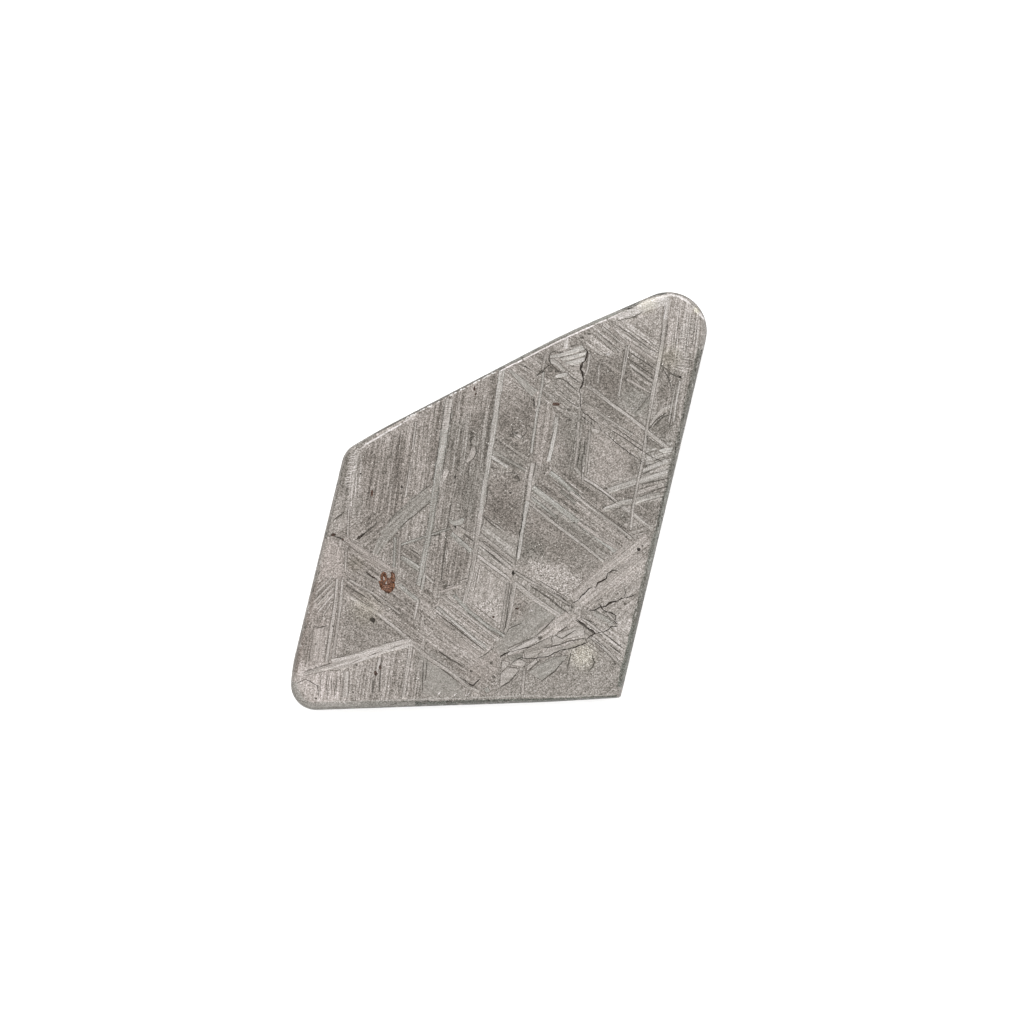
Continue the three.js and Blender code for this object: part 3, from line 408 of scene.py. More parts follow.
UPRIGHT_PLATES = (
    ("pink", 0.7, 0.66, ((-11.28, -7.9), (-11.4, -8.97), (-11.57, -10.0))),
    ("pale", 0.2, 0.2, ((-10.16, -4.84), (-10.22, -6.09), (-10.41, -7.28), (-10.84, -10.03))),
    ("pale", 0.15, 0.14, ((-9.84, -4.91), (-9.91, -6.16), (-10.28, -8.66), (-10.41, -9.78))),
    ("cream", 0.3, 0.3, ((-9.6, -10.6), (-9.68, -12.2))),
    ("pale", 0.1, 0.12, ((-9.42, -0.3), (-9.5, -2.2))),
    ("pale", 0.1, 0.12, ((-9.58, -2.9), (-9.65, -4.2))),
    ("pale", 0.1, 0.1, ((-5.25, 5.0), (-5.45, 3.3))),
    ("pale", 0.08, 0.1, ((-5.6, 2.3), (-5.9, 0.3))),
    ("cool", 0.13, 0.13, ((-6.54, -2.22), (-6.6, -4.1))),
    ("pale", 0.12, 0.12, ((-6.24, -2.22), (-6.3, -4.1))),
    ("pale", 0.22, 0.22, ((-5.56, -9.03), (-5.74, -10.22), (-6.03, -12.28))),
    ("ice", 0.46, 0.38, ((-3.2, 6.2), (-3.47, 4.03), (-3.93, 1.34))),
    ("cool", 0.36, 0.26, ((-3.93, 1.34), (-4.34, -1.53), (-5.06, -5.22))),
    ("cream", 0.4, 0.36, ((-3.14, 6.45), (-3.3, 5.4), (-3.43, 4.5))),
    ("silver", 0.16, 0.14, ((-4.72, -4.59), (-4.88, -5.53))),
    ("pale", 0.16, 0.14, ((-5.09, -6.16), (-5.34, -7.34))),
    ("silver", 0.32, 0.26, ((0.16, 8.4), (-0.32, 4.97), (-0.56, 3.41), (-0.91, 1.16), (-1.19, -0.72))),
    ("pale", 0.24, 0.22, ((-1.19, -0.72), (-1.4, -2.1))),
    ("pale", 0.22, 0.22, ((-1.4, -2.1), (-1.47, -2.72), (-1.78, -4.53), (-2.22, -6.34))),
    ("pale", 0.16, 0.16, ((2.3, 2.3), (2.1, 1.2))),
    ("pale", 0.28, 0.24, ((2.07, 2.4), (1.89, 1.34), (1.72, 0.1))),
    ("silver", 0.24, 0.2, ((1.72, 0.03), (1.41, -1.78), (1.16, -3.6))),
    ("pale", 0.16, 0.14, ((0.53, -5.09), (0.09, -8.03))),
    ("pale", 0.19, 0.16, ((0.94, -5.22), (0.47, -7.91))),
    ("pale", 0.18, 0.18, ((1.53, -10.59), (1.41, -12.03))),
    ("plain", 0.16, 0.14, ((2.88, 9.2), (2.75, 8.75), (2.68, 8.3))),
    ("silver", 0.12, 0.14, ((2.74, 8.1), (2.67, 7.4), (2.37, 5.78), (2.07, 3.84), (1.97, 3.03))),
    ("silver", 0.22, 0.24, ((3.55, 5.28), (3.45, 4.4), (3.31, 3.72), (3.05, 2.5))),
    ("pale", 0.13, 0.1, ((5.6, 9.2), (5.51, 8.4), (5.35, 7.9))),
    ("frost", 0.26, 0.22, ((4.2, 10.25), (4.1, 9.55))),
    ("pale", 0.12, 0.1, ((8.1, 9.8), (7.9, 8.9), (7.7, 7.9))),
    ("pale", 0.1, 0.08, ((7.92, 9.7), (7.75, 8.7), (7.45, 6.6))),
    ("pale", 0.14, 0.12, ((6.22, 8.5), (6.12, 7.4))),
    ("frost", 0.22, 0.22, ((10.52, 12.8), (10.42, 12.1), (10.34, 11.4))),
    ("pale", 0.22, 0.2, ((10.34, 11.4), (10.25, 10.6), (10.14, 9.8))),
    ("pale", 0.22, 0.2, ((10.14, 9.8), (9.9, 8.5), (9.63, 7.1), (9.4, 5.8))),
    ("pale", 0.16, 0.12, ((9.4, 5.8), (9.17, 4.4), (8.96, 2.56), (8.65, 1.3), (8.3, -0.46), (8.2, -1.6))),
    ("pale", 0.14, 0.1, ((11.3, 7.55), (11.05, 6.3), (10.85, 5.0))),
    ("pale", 0.1, 0.1, ((11.0, 7.3), (10.75, 6.0), (10.6, 5.0))),
    ("cream", 0.2, 0.16, ((-7.5, -9.8), (-7.66, -10.6))),
    ("plain", 0.14, 0.12, ((4.95, 5.0), (4.85, 3.4), (4.6, 1.9))),
    ("plain", 0.12, 0.12, ((5.62, 4.4), (5.5, 3.2), (5.35, 1.66))),
    ("pale", 0.12, 0.12, ((-2.53, 6.28), (-2.59, 5.6))),
)

# Dark seams and edges: width, path
SEAMS = (
    (0.08, ((-4.3, -0.02), (-4.75, -0.35), (-5.3, -0.85))),
    (0.07, ((-5.25, -0.8), (-5.8, -1.2), (-6.2, -1.6))),
    (0.05, ((-1.48, 3.5), (-1.46, 3.05), (-1.65, 2.65))),
    (0.06, ((-2.0, 3.75), (-1.85, 4.0), (-1.6, 4.1), (-1.45, 3.9))),
    (0.05, ((-2.1, 4.15), (-1.8, 4.3), (-1.4, 4.2))),
    (0.06, ((1.7, 4.4), (1.3, 3.9), (0.8, 4.3), (0.75, 4.8))),
    (0.05, ((0.2, 1.78), (0.8, 1.82), (1.25, 1.65))),
    (0.05, ((-11.9, -11.2), (-11.4, -11.5), (-11.3, -12.3))),
    (0.07, ((-11.6, -7.95), (-10.8, -7.75))),
    (0.04, ((-3.67, 1.0), (-3.24, 4.2), (-2.99, 5.8))),
    (0.04, ((-4.15, 1.4), (-3.82, 3.6), (-3.5, 5.9))),
    (0.06, ((0.75, -5.09), (0.58, -6.16), (0.41, -7.34), (0.22, -8.28))),
    (0.04, ((10.37, 12.4), (10.27, 11.6))),
    (0.04, ((10.5, 11.1), (10.4, 10.3))),
    (0.05, ((-9.75, -2.45), (-9.45, -2.65), (-9.05, -3.05), (-8.5, -3.46))),
    (0.08, ((3.2, 9.36), (3.05, 8.92), (3.2, 8.6), (2.85, 8.35), (2.62, 8.1), (2.3, 7.85))),
    (0.07, ((3.1, 8.75), (3.35, 8.42), (3.75, 8.12))),
    (0.06, ((3.9, 8.1), (4.25, 8.05), (4.5, 7.78), (5.0, 7.42))),
    (0.07, ((3.5, 7.68), (3.9, 7.68), (4.2, 7.5), (4.5, 7.2), (4.9, 6.85))),
    (0.06, ((3.11, 9.25), (3.43, 9.38), (3.74, 9.3), (4.0, 9.43))),
    (0.06, ((4.31, 9.67), (4.83, 9.82))),
    (0.05, ((4.1, 6.45), (4.6, 6.1), (4.95, 5.9))),
    (0.05, ((4.1, -6.35), (4.65, -6.65))),
    (0.1, ((4.75, -7.4), (5.5, -7.95), (5.95, -8.27))),
    (0.08, ((5.05, -7.2), (5.9, -7.6))),
    (0.07, ((5.32, 3.84), (5.3, 2.91))),
    (0.07, ((5.14, 2.91), (5.1, 1.34))),
    (0.08, ((-3.05, -0.09), (-3.16, -0.84))),
    (0.08, ((-3.22, -1.28), (-3.34, -1.78))),
    (0.08, ((-3.34, -2.34), (-3.56, -4.03), (-3.68, -5.09))),
    (0.07, ((-7.41, -9.72), (-7.53, -11.84))),
    (0.07, ((-7.91, -11.16), (-7.97, -12.03))),
    (0.07, ((-4.78, -9.97), (-4.84, -11.78))),
    (0.07, ((-4.53, -9.91), (-4.66, -11.16))),
    (0.07, ((4.47, -9.34), (4.22, -10.47))),
    (0.08, ((-3.72, -10.41), (-2.47, -11.34))),
    (0.08, ((-9.53, -5.28), (-8.28, -6.03))),
    (0.07, ((-8.0, -5.84), (-7.22, -6.51))),
    (0.12, ((-2.2, -2.05), (-1.66, -2.47))),
    (0.07, ((-1.03, -0.91), (-0.44, -1.47), (0.03, -1.78))),
    (0.06, ((-1.15, -2.8), (-0.37, -3.44), (0.2, -3.9))),
    (0.06, ((-1.0, -0.85), (-0.3, -1.35), (0.2, -1.7))),
    (0.08, ((-4.0, -6.9), (-2.4, -8.15), (-0.95, -9.3))),
    (0.07, ((5.3, 1.32), (6.03, 0.86), (6.66, 0.4), (7.35, -0.18))),
    (0.07, ((6.7, 4.65), (7.8, 3.95), (8.96, 3.15), (9.6, 2.75))),
    (0.05, ((7.1, 4.7), (8.4, 3.8), (9.2, 3.3))),
    (0.09, ((9.72, 2.69), (10.2, 2.45))),
    (0.04, ((6.9, 11.3), (8.1, 10.5), (9.5, 9.45), (9.95, 9.3))),
    (0.05, ((7.4, 11.33), (8.1, 11.47), (8.6, 11.66), (9.15, 12.0))),
    (0.07, ((8.1, 9.33), (9.7, 8.3))),
    (0.07, ((8.0, 8.95), (9.6, 7.85))),
    (0.06, ((8.3, 8.3), (9.6, 7.3))),
    (0.08, ((10.1, 8.55), (10.7, 8.0), (11.15, 7.8))),
    (0.07, ((10.15, 8.4), (10.6, 7.6), (10.75, 6.9))),
    (0.07, ((9.3, 4.5), (9.75, 5.1), (10.4, 5.55))),
    (0.06, ((9.6, 4.7), (10.2, 5.3), (10.9, 5.5))),
    (0.09, ((1.41, 8.53), (1.91, 8.28))),
    (0.09, ((2.34, 7.91), (2.66, 8.22))),
    (0.1, ((1.91, -5.25), (2.5, -5.65), (2.9, -5.95))),
    (0.11, ((2.8, -5.8), (3.3, -6.2), (3.7, -6.55), (4.3, -6.98))),
    (0.07, ((2.2, -5.15), (2.9, -5.55), (3.5, -6.0))),
    (0.06, ((3.3, -5.6), (3.9, -6.0), (4.3, -6.35))),
    (0.05, ((2.5, -4.95), (3.4, -5.5), (4.0, -5.9))),
    (0.07, ((5.91, -8.66), (6.47, -9.09))),
    (0.07, ((6.76, -8.41), (7.22, -8.78), (7.59, -9.09))),
    (0.07, ((6.94, -9.03), (7.59, -9.5))),
    (0.05, ((-4.34, 1.03), (-4.95, 0.6))),
    (0.09, ((-8.4, -1.95), (-7.8, -1.48), (-7.66, -1.22))),
    (0.07, ((-5.6, -2.97), (-5.3, -3.12), (-5.0, -3.37))),
    (0.09, ((-10.41, -1.16), (-9.72, -0.66))),
    (0.08, ((8.59, 5.72), (9.28, 6.53))),
    (0.08, ((3.94, -9.97), (3.46, -10.59), (2.59, -11.22))),
    (0.05, ((0.5, -9.35), (1.3, -8.9), (2.1, -8.45))),
    (0.05, ((2.5, -8.15), (2.95, -7.8), (3.45, -7.2))),
    (0.05, ((-9.4, -10.15), (-8.6, -9.8))),
    (0.05, ((-8.3, -9.7), (-7.3, -9.3))),
    (0.05, ((-7.0, -9.25), (-5.9, -8.87))),
    (0.04, ((-12.9, -11.4), (-12.1, -11.1), (-11.4, -11.5))),
    (0.06, ((8.83, 1.09), (9.53, 1.25), (10.34, 1.43))),
    (0.06, ((8.83, 0.34), (9.72, 0.72), (10.51, 0.97))),
    (0.06, ((8.78, 1.66), (9.53, 1.97))),
    (0.08, ((2.78, -9.16), (3.64, -8.97), (4.34, -8.72), (5.34, -8.53))),
    (0.08, ((3.64, -8.16), (4.22, -7.81))),
    (0.08, ((3.46, -8.34), (3.88, -8.57), (4.72, -8.03))),
    (0.07, ((-4.28, -2.16), (-3.68, -2.03))),
    (0.07, ((-3.5, -5.34), (-2.97, -5.18))),
    (0.07, ((-2.47, -4.91), (-2.0, -4.78))),
    (0.06, ((1.4, -7.6), (0.95, -7.75), (0.58, -7.95), (0.4, -8.25))),
    (0.05, ((-0.35, -9.1), (-1.0, -9.6), (-1.3, -9.75))),
    (0.07, ((3.4, -7.3), (2.7, -8.0), (2.3, -8.35))),
    (0.08, ((0.06, -11.59), (0.58, -11.28), (1.16, -10.59))),
    (0.08, ((1.72, -10.59), (2.53, -9.91))),
    (0.09, ((5.78, -9.66), (5.91, -10.03), (5.78, -10.34), (5.56, -10.59))),
    (0.1, ((-3.81, -9.34), (-3.09, -9.84), (-2.31, -10.26))),
    (0.1, ((6.09, -6.22), (6.34, -6.03))),
)

# Open cracks: width, path
CRACKS = (
    (0.07, ((-0.72, 1.09), (-0.8, 0.4), (-0.9, -0.3))),
    (0.06, ((-0.95, -0.6), (-1.12, -1.66))),
    (0.08, ((1.59, -0.03), (1.42, -1.1), (1.2, -2.2))),
    (0.08, ((1.16, -2.4), (1.0, -3.53))),
    (0.22, ((5.35, 9.56), (5.47, 9.41), (5.39, 9.09), (5.35, 8.8), (5.12, 8.6))),
    (0.34, ((5.2, 8.75), (5.09, 8.5), (5.09, 8.05), (5.2, 7.76))),
    (0.17, ((5.18, 7.85), (5.22, 7.6), (5.17, 7.38), (5.0, 7.01))),
    (0.22, ((5.08, 7.2), (4.99, 7.0), (5.04, 6.7))),
    (0.09, ((5.02, 6.75), (5.02, 6.4), (5.03, 6.09), (5.14, 5.68))),
    (0.09, ((5.14, 5.68), (5.5, 5.4), (6.04, 4.96), (6.4, 4.42))),
    (0.08, ((6.35, 4.42), (7.09, 3.84), (7.87, 3.22), (8.34, 2.86), (8.8, 2.55), (9.25, 2.27))),
    (0.08, ((5.08, 5.34), (5.59, 4.97), (5.91, 4.72))),
    (0.14, ((4.6, -6.28), (4.92, -6.12), (5.2, -5.78))),
    (0.11, ((5.1, -5.9), (5.58, -5.46), (5.85, -5.33), (6.0, -5.45))),
    (0.14, ((5.95, -5.4), (6.1, -5.06), (6.4, -4.96), (6.66, -4.8), (6.76, -4.5), (7.04, -4.27),
        (7.25, -4.33))),
    (0.09, ((5.45, -6.87), (5.9, -6.75), (6.3, -6.6))),
    (0.2, ((6.28, -6.62), (6.6, -6.5), (6.83, -6.38), (7.2, -6.22), (7.35, -6.2))),
    (0.12, ((7.3, -6.2), (7.6, -6.08), (8.0, -6.0), (8.45, -5.8))),
    (0.1, ((7.82, -6.0), (7.86, -5.72), (7.78, -5.45))),
    (0.14, ((6.22, -6.42), (6.34, -6.6), (6.5, -6.75), (6.72, -6.84))),
    (0.13, ((6.66, -6.84), (7.0, -6.98), (7.24, -7.12), (7.22, -7.32), (7.12, -7.42), (7.36, -7.72))),
    (0.14, ((5.55, -8.46), (5.88, -8.3), (6.0, -8.22))),
    (0.1, ((6.0, -8.24), (6.4, -8.15), (6.83, -7.98), (6.95, -7.82), (7.4, -7.76))),
    (0.24, ((-8.96, -2.38), (-8.42, -1.93))),
    (0.09, ((-8.35, -4.38), (-8.05, -4.62), (-7.75, -4.8), (-7.58, -4.94))),
    (0.16, ((-10.2, -2.2), (-9.75, -2.45))),
    (0.13, (
        (5.58, -8.74), (5.17, -8.9), (4.75, -9.05), (4.44, -9.16), (4.0, -9.26), (3.6, -9.36), (3.2, -9.57),
        (2.67, -9.73))),
    (0.15, ((4.78, -7.34), (5.22, -7.66), (5.66, -7.97), (5.97, -8.22), (5.72, -8.41), (5.47, -8.53))),
    (0.16, ((0.03, -9.66), (0.34, -9.53), (0.59, -9.41))),
    (0.09, ((0.59, -9.41), (1.78, -9.09), (2.53, -8.72))),
    (0.08, ((0.78, -10.03), (0.97, -9.84), (1.34, -9.72), (1.91, -9.84), (3.16, -9.66))),
    (0.15, ((-2.03, -11.28), (-1.66, -11.53), (-1.28, -11.09))),
    (0.1, ((7.8, 12.0), (8.05, 12.09), (8.31, 12.15))),
    (0.07, ((8.28, 12.14), (8.5, 12.24), (8.58, 12.34), (8.68, 12.4))),
)

# Single crystals: metal and outline
GRAINS = (
    ("silver", (
        (3.11, 9.12), (3.74, 9.25), (4.42, 9.48), (4.83, 9.67), (5.15, 9.78), (5.33, 9.51), (4.9, 9.35),
        (4.4, 9.2), (3.75, 9.04), (3.17, 8.99))),
    ("silver", (
        (3.74, 8.96), (4.42, 9.11), (4.94, 9.26), (5.44, 9.42), (5.37, 9.17), (4.83, 9.01), (4.42, 8.88),
        (3.95, 8.79))),
    ("silver", (
        (4.05, 8.71), (4.52, 8.81), (5.04, 8.99), (5.33, 9.02), (5.28, 8.78), (4.94, 8.61), (4.52, 8.53),
        (4.21, 8.6))),
    ("dusk", ((9.2, 4.1), (9.5, 3.85), (10.2, 3.35), (9.9, 3.3), (9.3, 3.55))),
    ("sage", ((3.13, 8.92), (3.4, 8.95), (3.8, 8.6), (4.12, 8.2), (3.97, 8.1), (3.6, 8.45), (3.2, 8.66))),
    ("silver", (
        (3.45, 7.84), (3.6, 7.95), (3.95, 8.03), (4.3, 8.1), (4.2, 7.84), (3.84, 7.77), (3.58, 7.74))),
    ("pale", ((2.8, 7.53), (3.06, 7.69), (3.22, 7.64), (3.06, 7.43), (2.9, 7.37))),
    ("tan", ((4.3, 8.42), (5.0, 8.45), (5.0, 8.2), (4.5, 8.25))),
    ("pale", (
        (-1.55, 3.47), (-1.5, 3.1), (-1.68, 2.7), (-2.08, 2.36), (-2.1, 2.55), (-1.9, 2.95), (-1.78, 3.3))),
    ("pale", ((5.72, 4.59), (6.28, 4.5), (6.2, 4.28), (5.75, 4.33))),
    ("silver", ((9.91, 3.22), (10.28, 3.34), (10.84, 3.41), (10.72, 3.09), (10.22, 3.03))),
    ("cream", (
        (0.48, -9.52), (0.69, -9.31), (1.63, -8.79), (2.35, -8.53), (2.46, -8.64), (1.83, -9.0),
        (1.0, -9.42), (0.58, -9.63))),
    ("grey", ((0.48, -9.68), (1.42, -9.42), (1.42, -9.83), (0.9, -10.04), (0.58, -9.83))),
    ("plain", (
        (1.52, -9.31), (2.04, -9.0), (2.67, -8.69), (3.29, -8.38), (3.19, -8.79), (2.67, -9.21),
        (2.25, -9.63), (1.63, -9.83))),
    ("pale", (
        (3.29, -8.48), (3.92, -8.17), (4.65, -7.85), (5.2, -7.8), (5.3, -8.3), (4.13, -8.58), (3.71, -8.9),
        (3.29, -9.0))),
    ("pale", (
        (2.46, -9.52), (3.29, -9.21), (4.23, -9.0), (5.3, -8.6), (5.4, -8.75), (3.92, -9.31), (2.88, -9.73),
        (2.35, -9.83))),
    ("pale", ((0.17, -9.94), (0.58, -10.04), (0.48, -10.35), (0.11, -10.46))),
    ("pale", ((0.69, -10.15), (1.21, -9.83), (1.63, -10.04), (1.52, -10.35), (1.0, -10.25))),
    ("pale", ((1.73, -10.25), (2.25, -9.83), (2.35, -10.04), (1.94, -10.46), (1.68, -10.56))),
    ("pale", ((0.06, -10.77), (0.48, -10.35), (1.21, -10.46), (1.1, -10.77), (0.58, -11.19), (0.01, -11.6))),
    ("moss", (
        (1.83, -10.67), (2.67, -10.04), (3.29, -9.73), (4.23, -9.63), (4.02, -9.94), (3.29, -10.67),
        (2.67, -11.19))),
    ("cool", (
        (-3.2, -1.0), (-2.95, -1.2), (-2.6, -1.15), (-2.35, -1.0), (-2.2, -1.1), (-2.35, -1.4), (-2.8, -1.5),
        (-3.1, -1.35))),
    ("pale", ((0.78, 4.35), (1.0, 4.22), (1.3, 4.2), (1.45, 3.95), (1.28, 3.86), (1.0, 3.95), (0.82, 4.15))),
    ("sage", ((4.62, 2.1), (4.75, 2.15), (4.95, 2.0), (5.1, 1.7), (5.0, 1.62), (4.8, 1.85))),
    ("cool", ((-1.0, -11.7), (-0.75, -11.6), (-0.6, -11.85), (-0.85, -11.95))),
)

# Dark spots and pits: centre, size across and along, metal
SPOTS = (
    (-10.41, -2.06, 0.31, 0.19, "umber"),
    (-9.82, -2.36, 0.16, 0.12, "umber"),
    (-8.0, 0.56, 0.21, 0.38, "umber"),
    (-6.12, 0.92, 0.15, 0.2, "soot"),
    (-6.16, 0.53, 0.1, 0.12, "soot"),
    (-6.47, 2.16, 0.12, 0.12, "dusk"),
    (-1.59, 7.05, 0.14, 0.3, "umber"),
    (-1.78, 3.53, 0.2, 0.2, "seam"),
    (-2.79, 1.54, 0.15, 0.15, "soot"),
    (0.66, 0.55, 0.17, 0.12, "soot"),
    (0.75, 4.15, 0.3, 0.22, "seam"),
    (1.03, 4.3, 0.24, 0.14, "seam"),
    (1.03, 1.52, 0.3, 0.24, "seam"),
    (1.2, 1.4, 0.2, 0.26, "seam"),
    (2.14, 6.2, 0.09, 0.7, "soot"),
    (3.49, 6.08, 0.44, 0.22, "umber"),
    (4.31, 5.74, 0.25, 0.2, "seam"),
    (5.14, 10.25, 0.25, 0.13, "seam"),
    (5.56, 10.49, 0.25, 0.13, "seam"),
    (11.28, 7.78, 0.19, 0.19, "soot"),
    (9.09, 2.24, 0.25, 0.2, "seam"),
    (6.49, -0.34, 0.16, 0.12, "seam"),
    (6.64, 0.84, 0.14, 0.12, "seam"),
    (4.66, -1.31, 0.14, 0.12, "seam"),
    (3.31, -0.41, 0.12, 0.1, "seam"),
    (8.67, -2.99, 0.22, 0.22, "soot"),
    (8.91, -2.78, 0.14, 0.14, "seam"),
    (2.53, -8.51, 0.25, 0.2, "seam"),
    (-0.4, -7.2, 0.18, 0.14, "umber"),
    (-1.5, 6.73, 0.12, 0.16, "umber"),
    (0.83, -4.46, 0.18, 0.3, "soot"),
    (-1.8, -10.59, 0.2, 0.14, "seam"),
    (-0.54, -10.09, 0.2, 0.16, "seam"),
    (-0.4, -10.95, 0.24, 0.16, "dusk"),
    (1.53, -10.31, 0.14, 0.14, "seam"),
    (7.84, -6.38, 0.14, 0.14, "seam"),
    (7.22, -10.13, 0.16, 0.14, "seam"),
    (-6.28, -6.72, 0.16, 0.14, "brown"),
    (-2.78, -1.59, 0.15, 0.13, "soot"),
    (-8.99, -8.16, 0.14, 0.12, "brown"),
    (-11.51, -8.91, 0.12, 0.12, "seam"),
    (-10.43, -7.78, 0.12, 0.12, "seam"),
    (-11.48, -12.28, 0.14, 0.12, "seam"),
    (-7.74, -10.72, 0.24, 0.26, "umber"),
    (-7.48, -10.35, 0.14, 0.3, "umber"),
    (1.07, -6.68, 0.25, 0.13, "umber"),
    (-8.7, 1.75, 0.13, 0.13, "soot"),
    (0.11, -9.63, 0.15, 0.13, "soot"),
    (3.15, 8.25, 0.34, 0.4, "dusk"),
    (3.55, 8.15, 0.3, 0.16, "seam"),
    (2.66, 8.1, 0.1, 0.14, "soot"),
    (5.6, -9.95, 0.1, 0.12, "white"),
    (-8.93, -10.22, 0.12, 0.12, "seam"),
    (-9.17, -11.91, 0.12, 0.12, "seam"),
    (7.91, -2.22, 0.14, 0.14, "seam"),
    (-7.95, -7.38, 0.36, 0.36, "soot"),
    (-7.92, -4.72, 0.22, 0.1, "umber"),
    (1.97, -6.81, 0.25, 0.13, "white"),
    (2.19, -11.82, 0.19, 0.14, "white"),
    (6.75, 9.22, 0.3, 0.16, "white"),
    (8.33, 5.84, 0.16, 0.14, "white"),
    (3.09, -3.66, 0.16, 0.12, "white"),
    (3.7, 3.5, 0.2, 0.09, "white"),
    (4.02, 3.6, 0.16, 0.09, "white"),
)

# Painted light and shade along the chamfer: the lighter bands and thin light lines are painted
# highlights, brightest along the top edges, and the darker greenish bands and thin dark outer lines are
# painted shade, darkest along the bottom and right edges. Each band: lightness, warmth, inset and width
# at each end, and the two ends, each given as the number of a corner plus a share of the edge that
# follows it
PAINTED_RIM_LIGHT_AND_SHADE = (
    (0.52, -0.2, (0.12, 0.12), (0.22, 0.22), (-0.02, 0.4)),
    (0.60, 0.3, (0.16, 0.2), (0.24, 0.3), (0.4, 0.62)),
    (0.50, 1.0, (0.18, 0.2), (0.3, 0.3), (0.62, 1.0)),
    (0.47, 0.2, (0.04, 0.04), (0.08, 0.1), (0.0, 1.0)),
    (0.51, 0.2, (0.04, 0.04), (0.08, 0.1), (1.0, 1.95)),
    (0.64, -0.6, (0.28, 0.24), (0.36, 0.36), (1.95, 2.3)),
    (0.50, -1.0, (0.08, 0.08), (0.16, 0.16), (1.97, 2.3)),
    (0.56, -1.0, (0.25, 0.2), (0.42, 0.36), (2.2, 2.5)),
    (0.40, -2.4, (0.18, 0.09), (0.33, 0.17), (2.45, 3.98)),
    (0.35, -2.4, (0.03, 0.03), (0.06, 0.06), (2.2, 3.98)),
    (0.67, -0.4, (0.48, 0.23), (0.06, 0.05), (2.0, 3.98)),
    (0.46, -2.2, (0.2, 0.2), (0.4, 0.4), (4.02, 4.2)),
    (0.45, -1.2, (0.2, 0.2), (0.4, 0.4), (4.2, 4.45)),
    (0.53, -2.0, (0.18, 0.17), (0.36, 0.34), (4.35, 4.65)),
    (0.40, -1.0, (0.28, 0.26), (0.06, 0.06), (4.38, 4.62)),
    (0.47, -1.0, (0.19, 0.2), (0.36, 0.4), (4.6, 4.99)),
    (0.41, -1.0, (0.03, 0.03), (0.06, 0.06), (4.02, 4.99)),
    (0.60, -0.5, (0.16, 0.14), (0.3, 0.2), (5.1, 5.95)),
    (0.55, -1.8, (0.1, 0.09), (0.2, 0.18), (5.6, 6.28)),
    (0.37, -1.4, (0.03, 0.03), (0.06, 0.06), (5.75, 6.28)),
    (0.42, -1.4, (0.19, 0.17), (0.04, 0.04), (5.75, 6.28)),
    (0.34, -0.6, (0.05, 0.05), (0.1, 0.1), (6.24, 7.0)),
    (0.52, -0.9, (0.14, 0.16), (0.12, 0.14), (7.0, 7.95)),
    (0.44, -0.4, (0.03, 0.03), (0.06, 0.06), (7.0, 8.0)),
    (0.63, 0.2, (0.18, 0.2), (0.3, 0.3), (4.97, 5.2)),
    (0.44, 0.2, (0.03, 0.03), (0.06, 0.06), (4.9, 5.6)),
    (0.52, 0.2, (0.03, 0.03), (0.06, 0.06), (5.6, 5.95)),
    (0.88, 0.3, (0.28, 0.26), (0.09, 0.07), (5.52, 5.75)),
    (0.88, 0.3, (0.26, 0.23), (0.08, 0.08), (5.78, 5.96)),
    (0.94, 0.6, (0.27, 0.25), (0.09, 0.08), (5.98, 6.12)),
    (0.98, 0.6, (0.25, 0.23), (0.09, 0.07), (6.13, 6.27)),
    (0.84, 0.2, (0.22, 0.28), (0.07, 0.08), (6.84, 6.93)),
    (0.92, 0.0, (0.3, 0.37), (0.1, 0.1), (6.94, 7.55)),
    (0.80, 0.0, (0.4, 0.44), (0.07, 0.07), (7.6, 7.9)),
)

# Short marks along the rim: a few nicks, and painted glints and flecks of painted shade on the chamfer,
# the brightest along the top edge. Each: the stretch of rim, how many, how far in and how light they are
RIM_NICKS_AND_GLINTS = (
    ((0.0, 0.95), 60, (0.03, 0.25), (0.28, 0.72)),
    ((2.3, 3.0), 50, (0.03, 0.3), (0.28, 0.62)),
    ((3.02, 3.98), 16, (0.03, 0.2), (0.28, 0.6)),
    ((4.02, 4.98), 170, (0.03, 0.38), (0.22, 0.72)),
    ((5.93, 6.3), 24, (0.03, 0.16), (0.34, 0.66)),
    ((6.3, 6.95), 28, (0.11, 0.17), (0.8, 1.0)),
    ((7.0, 7.9), 12, (0.05, 0.25), (0.4, 0.6)),
)
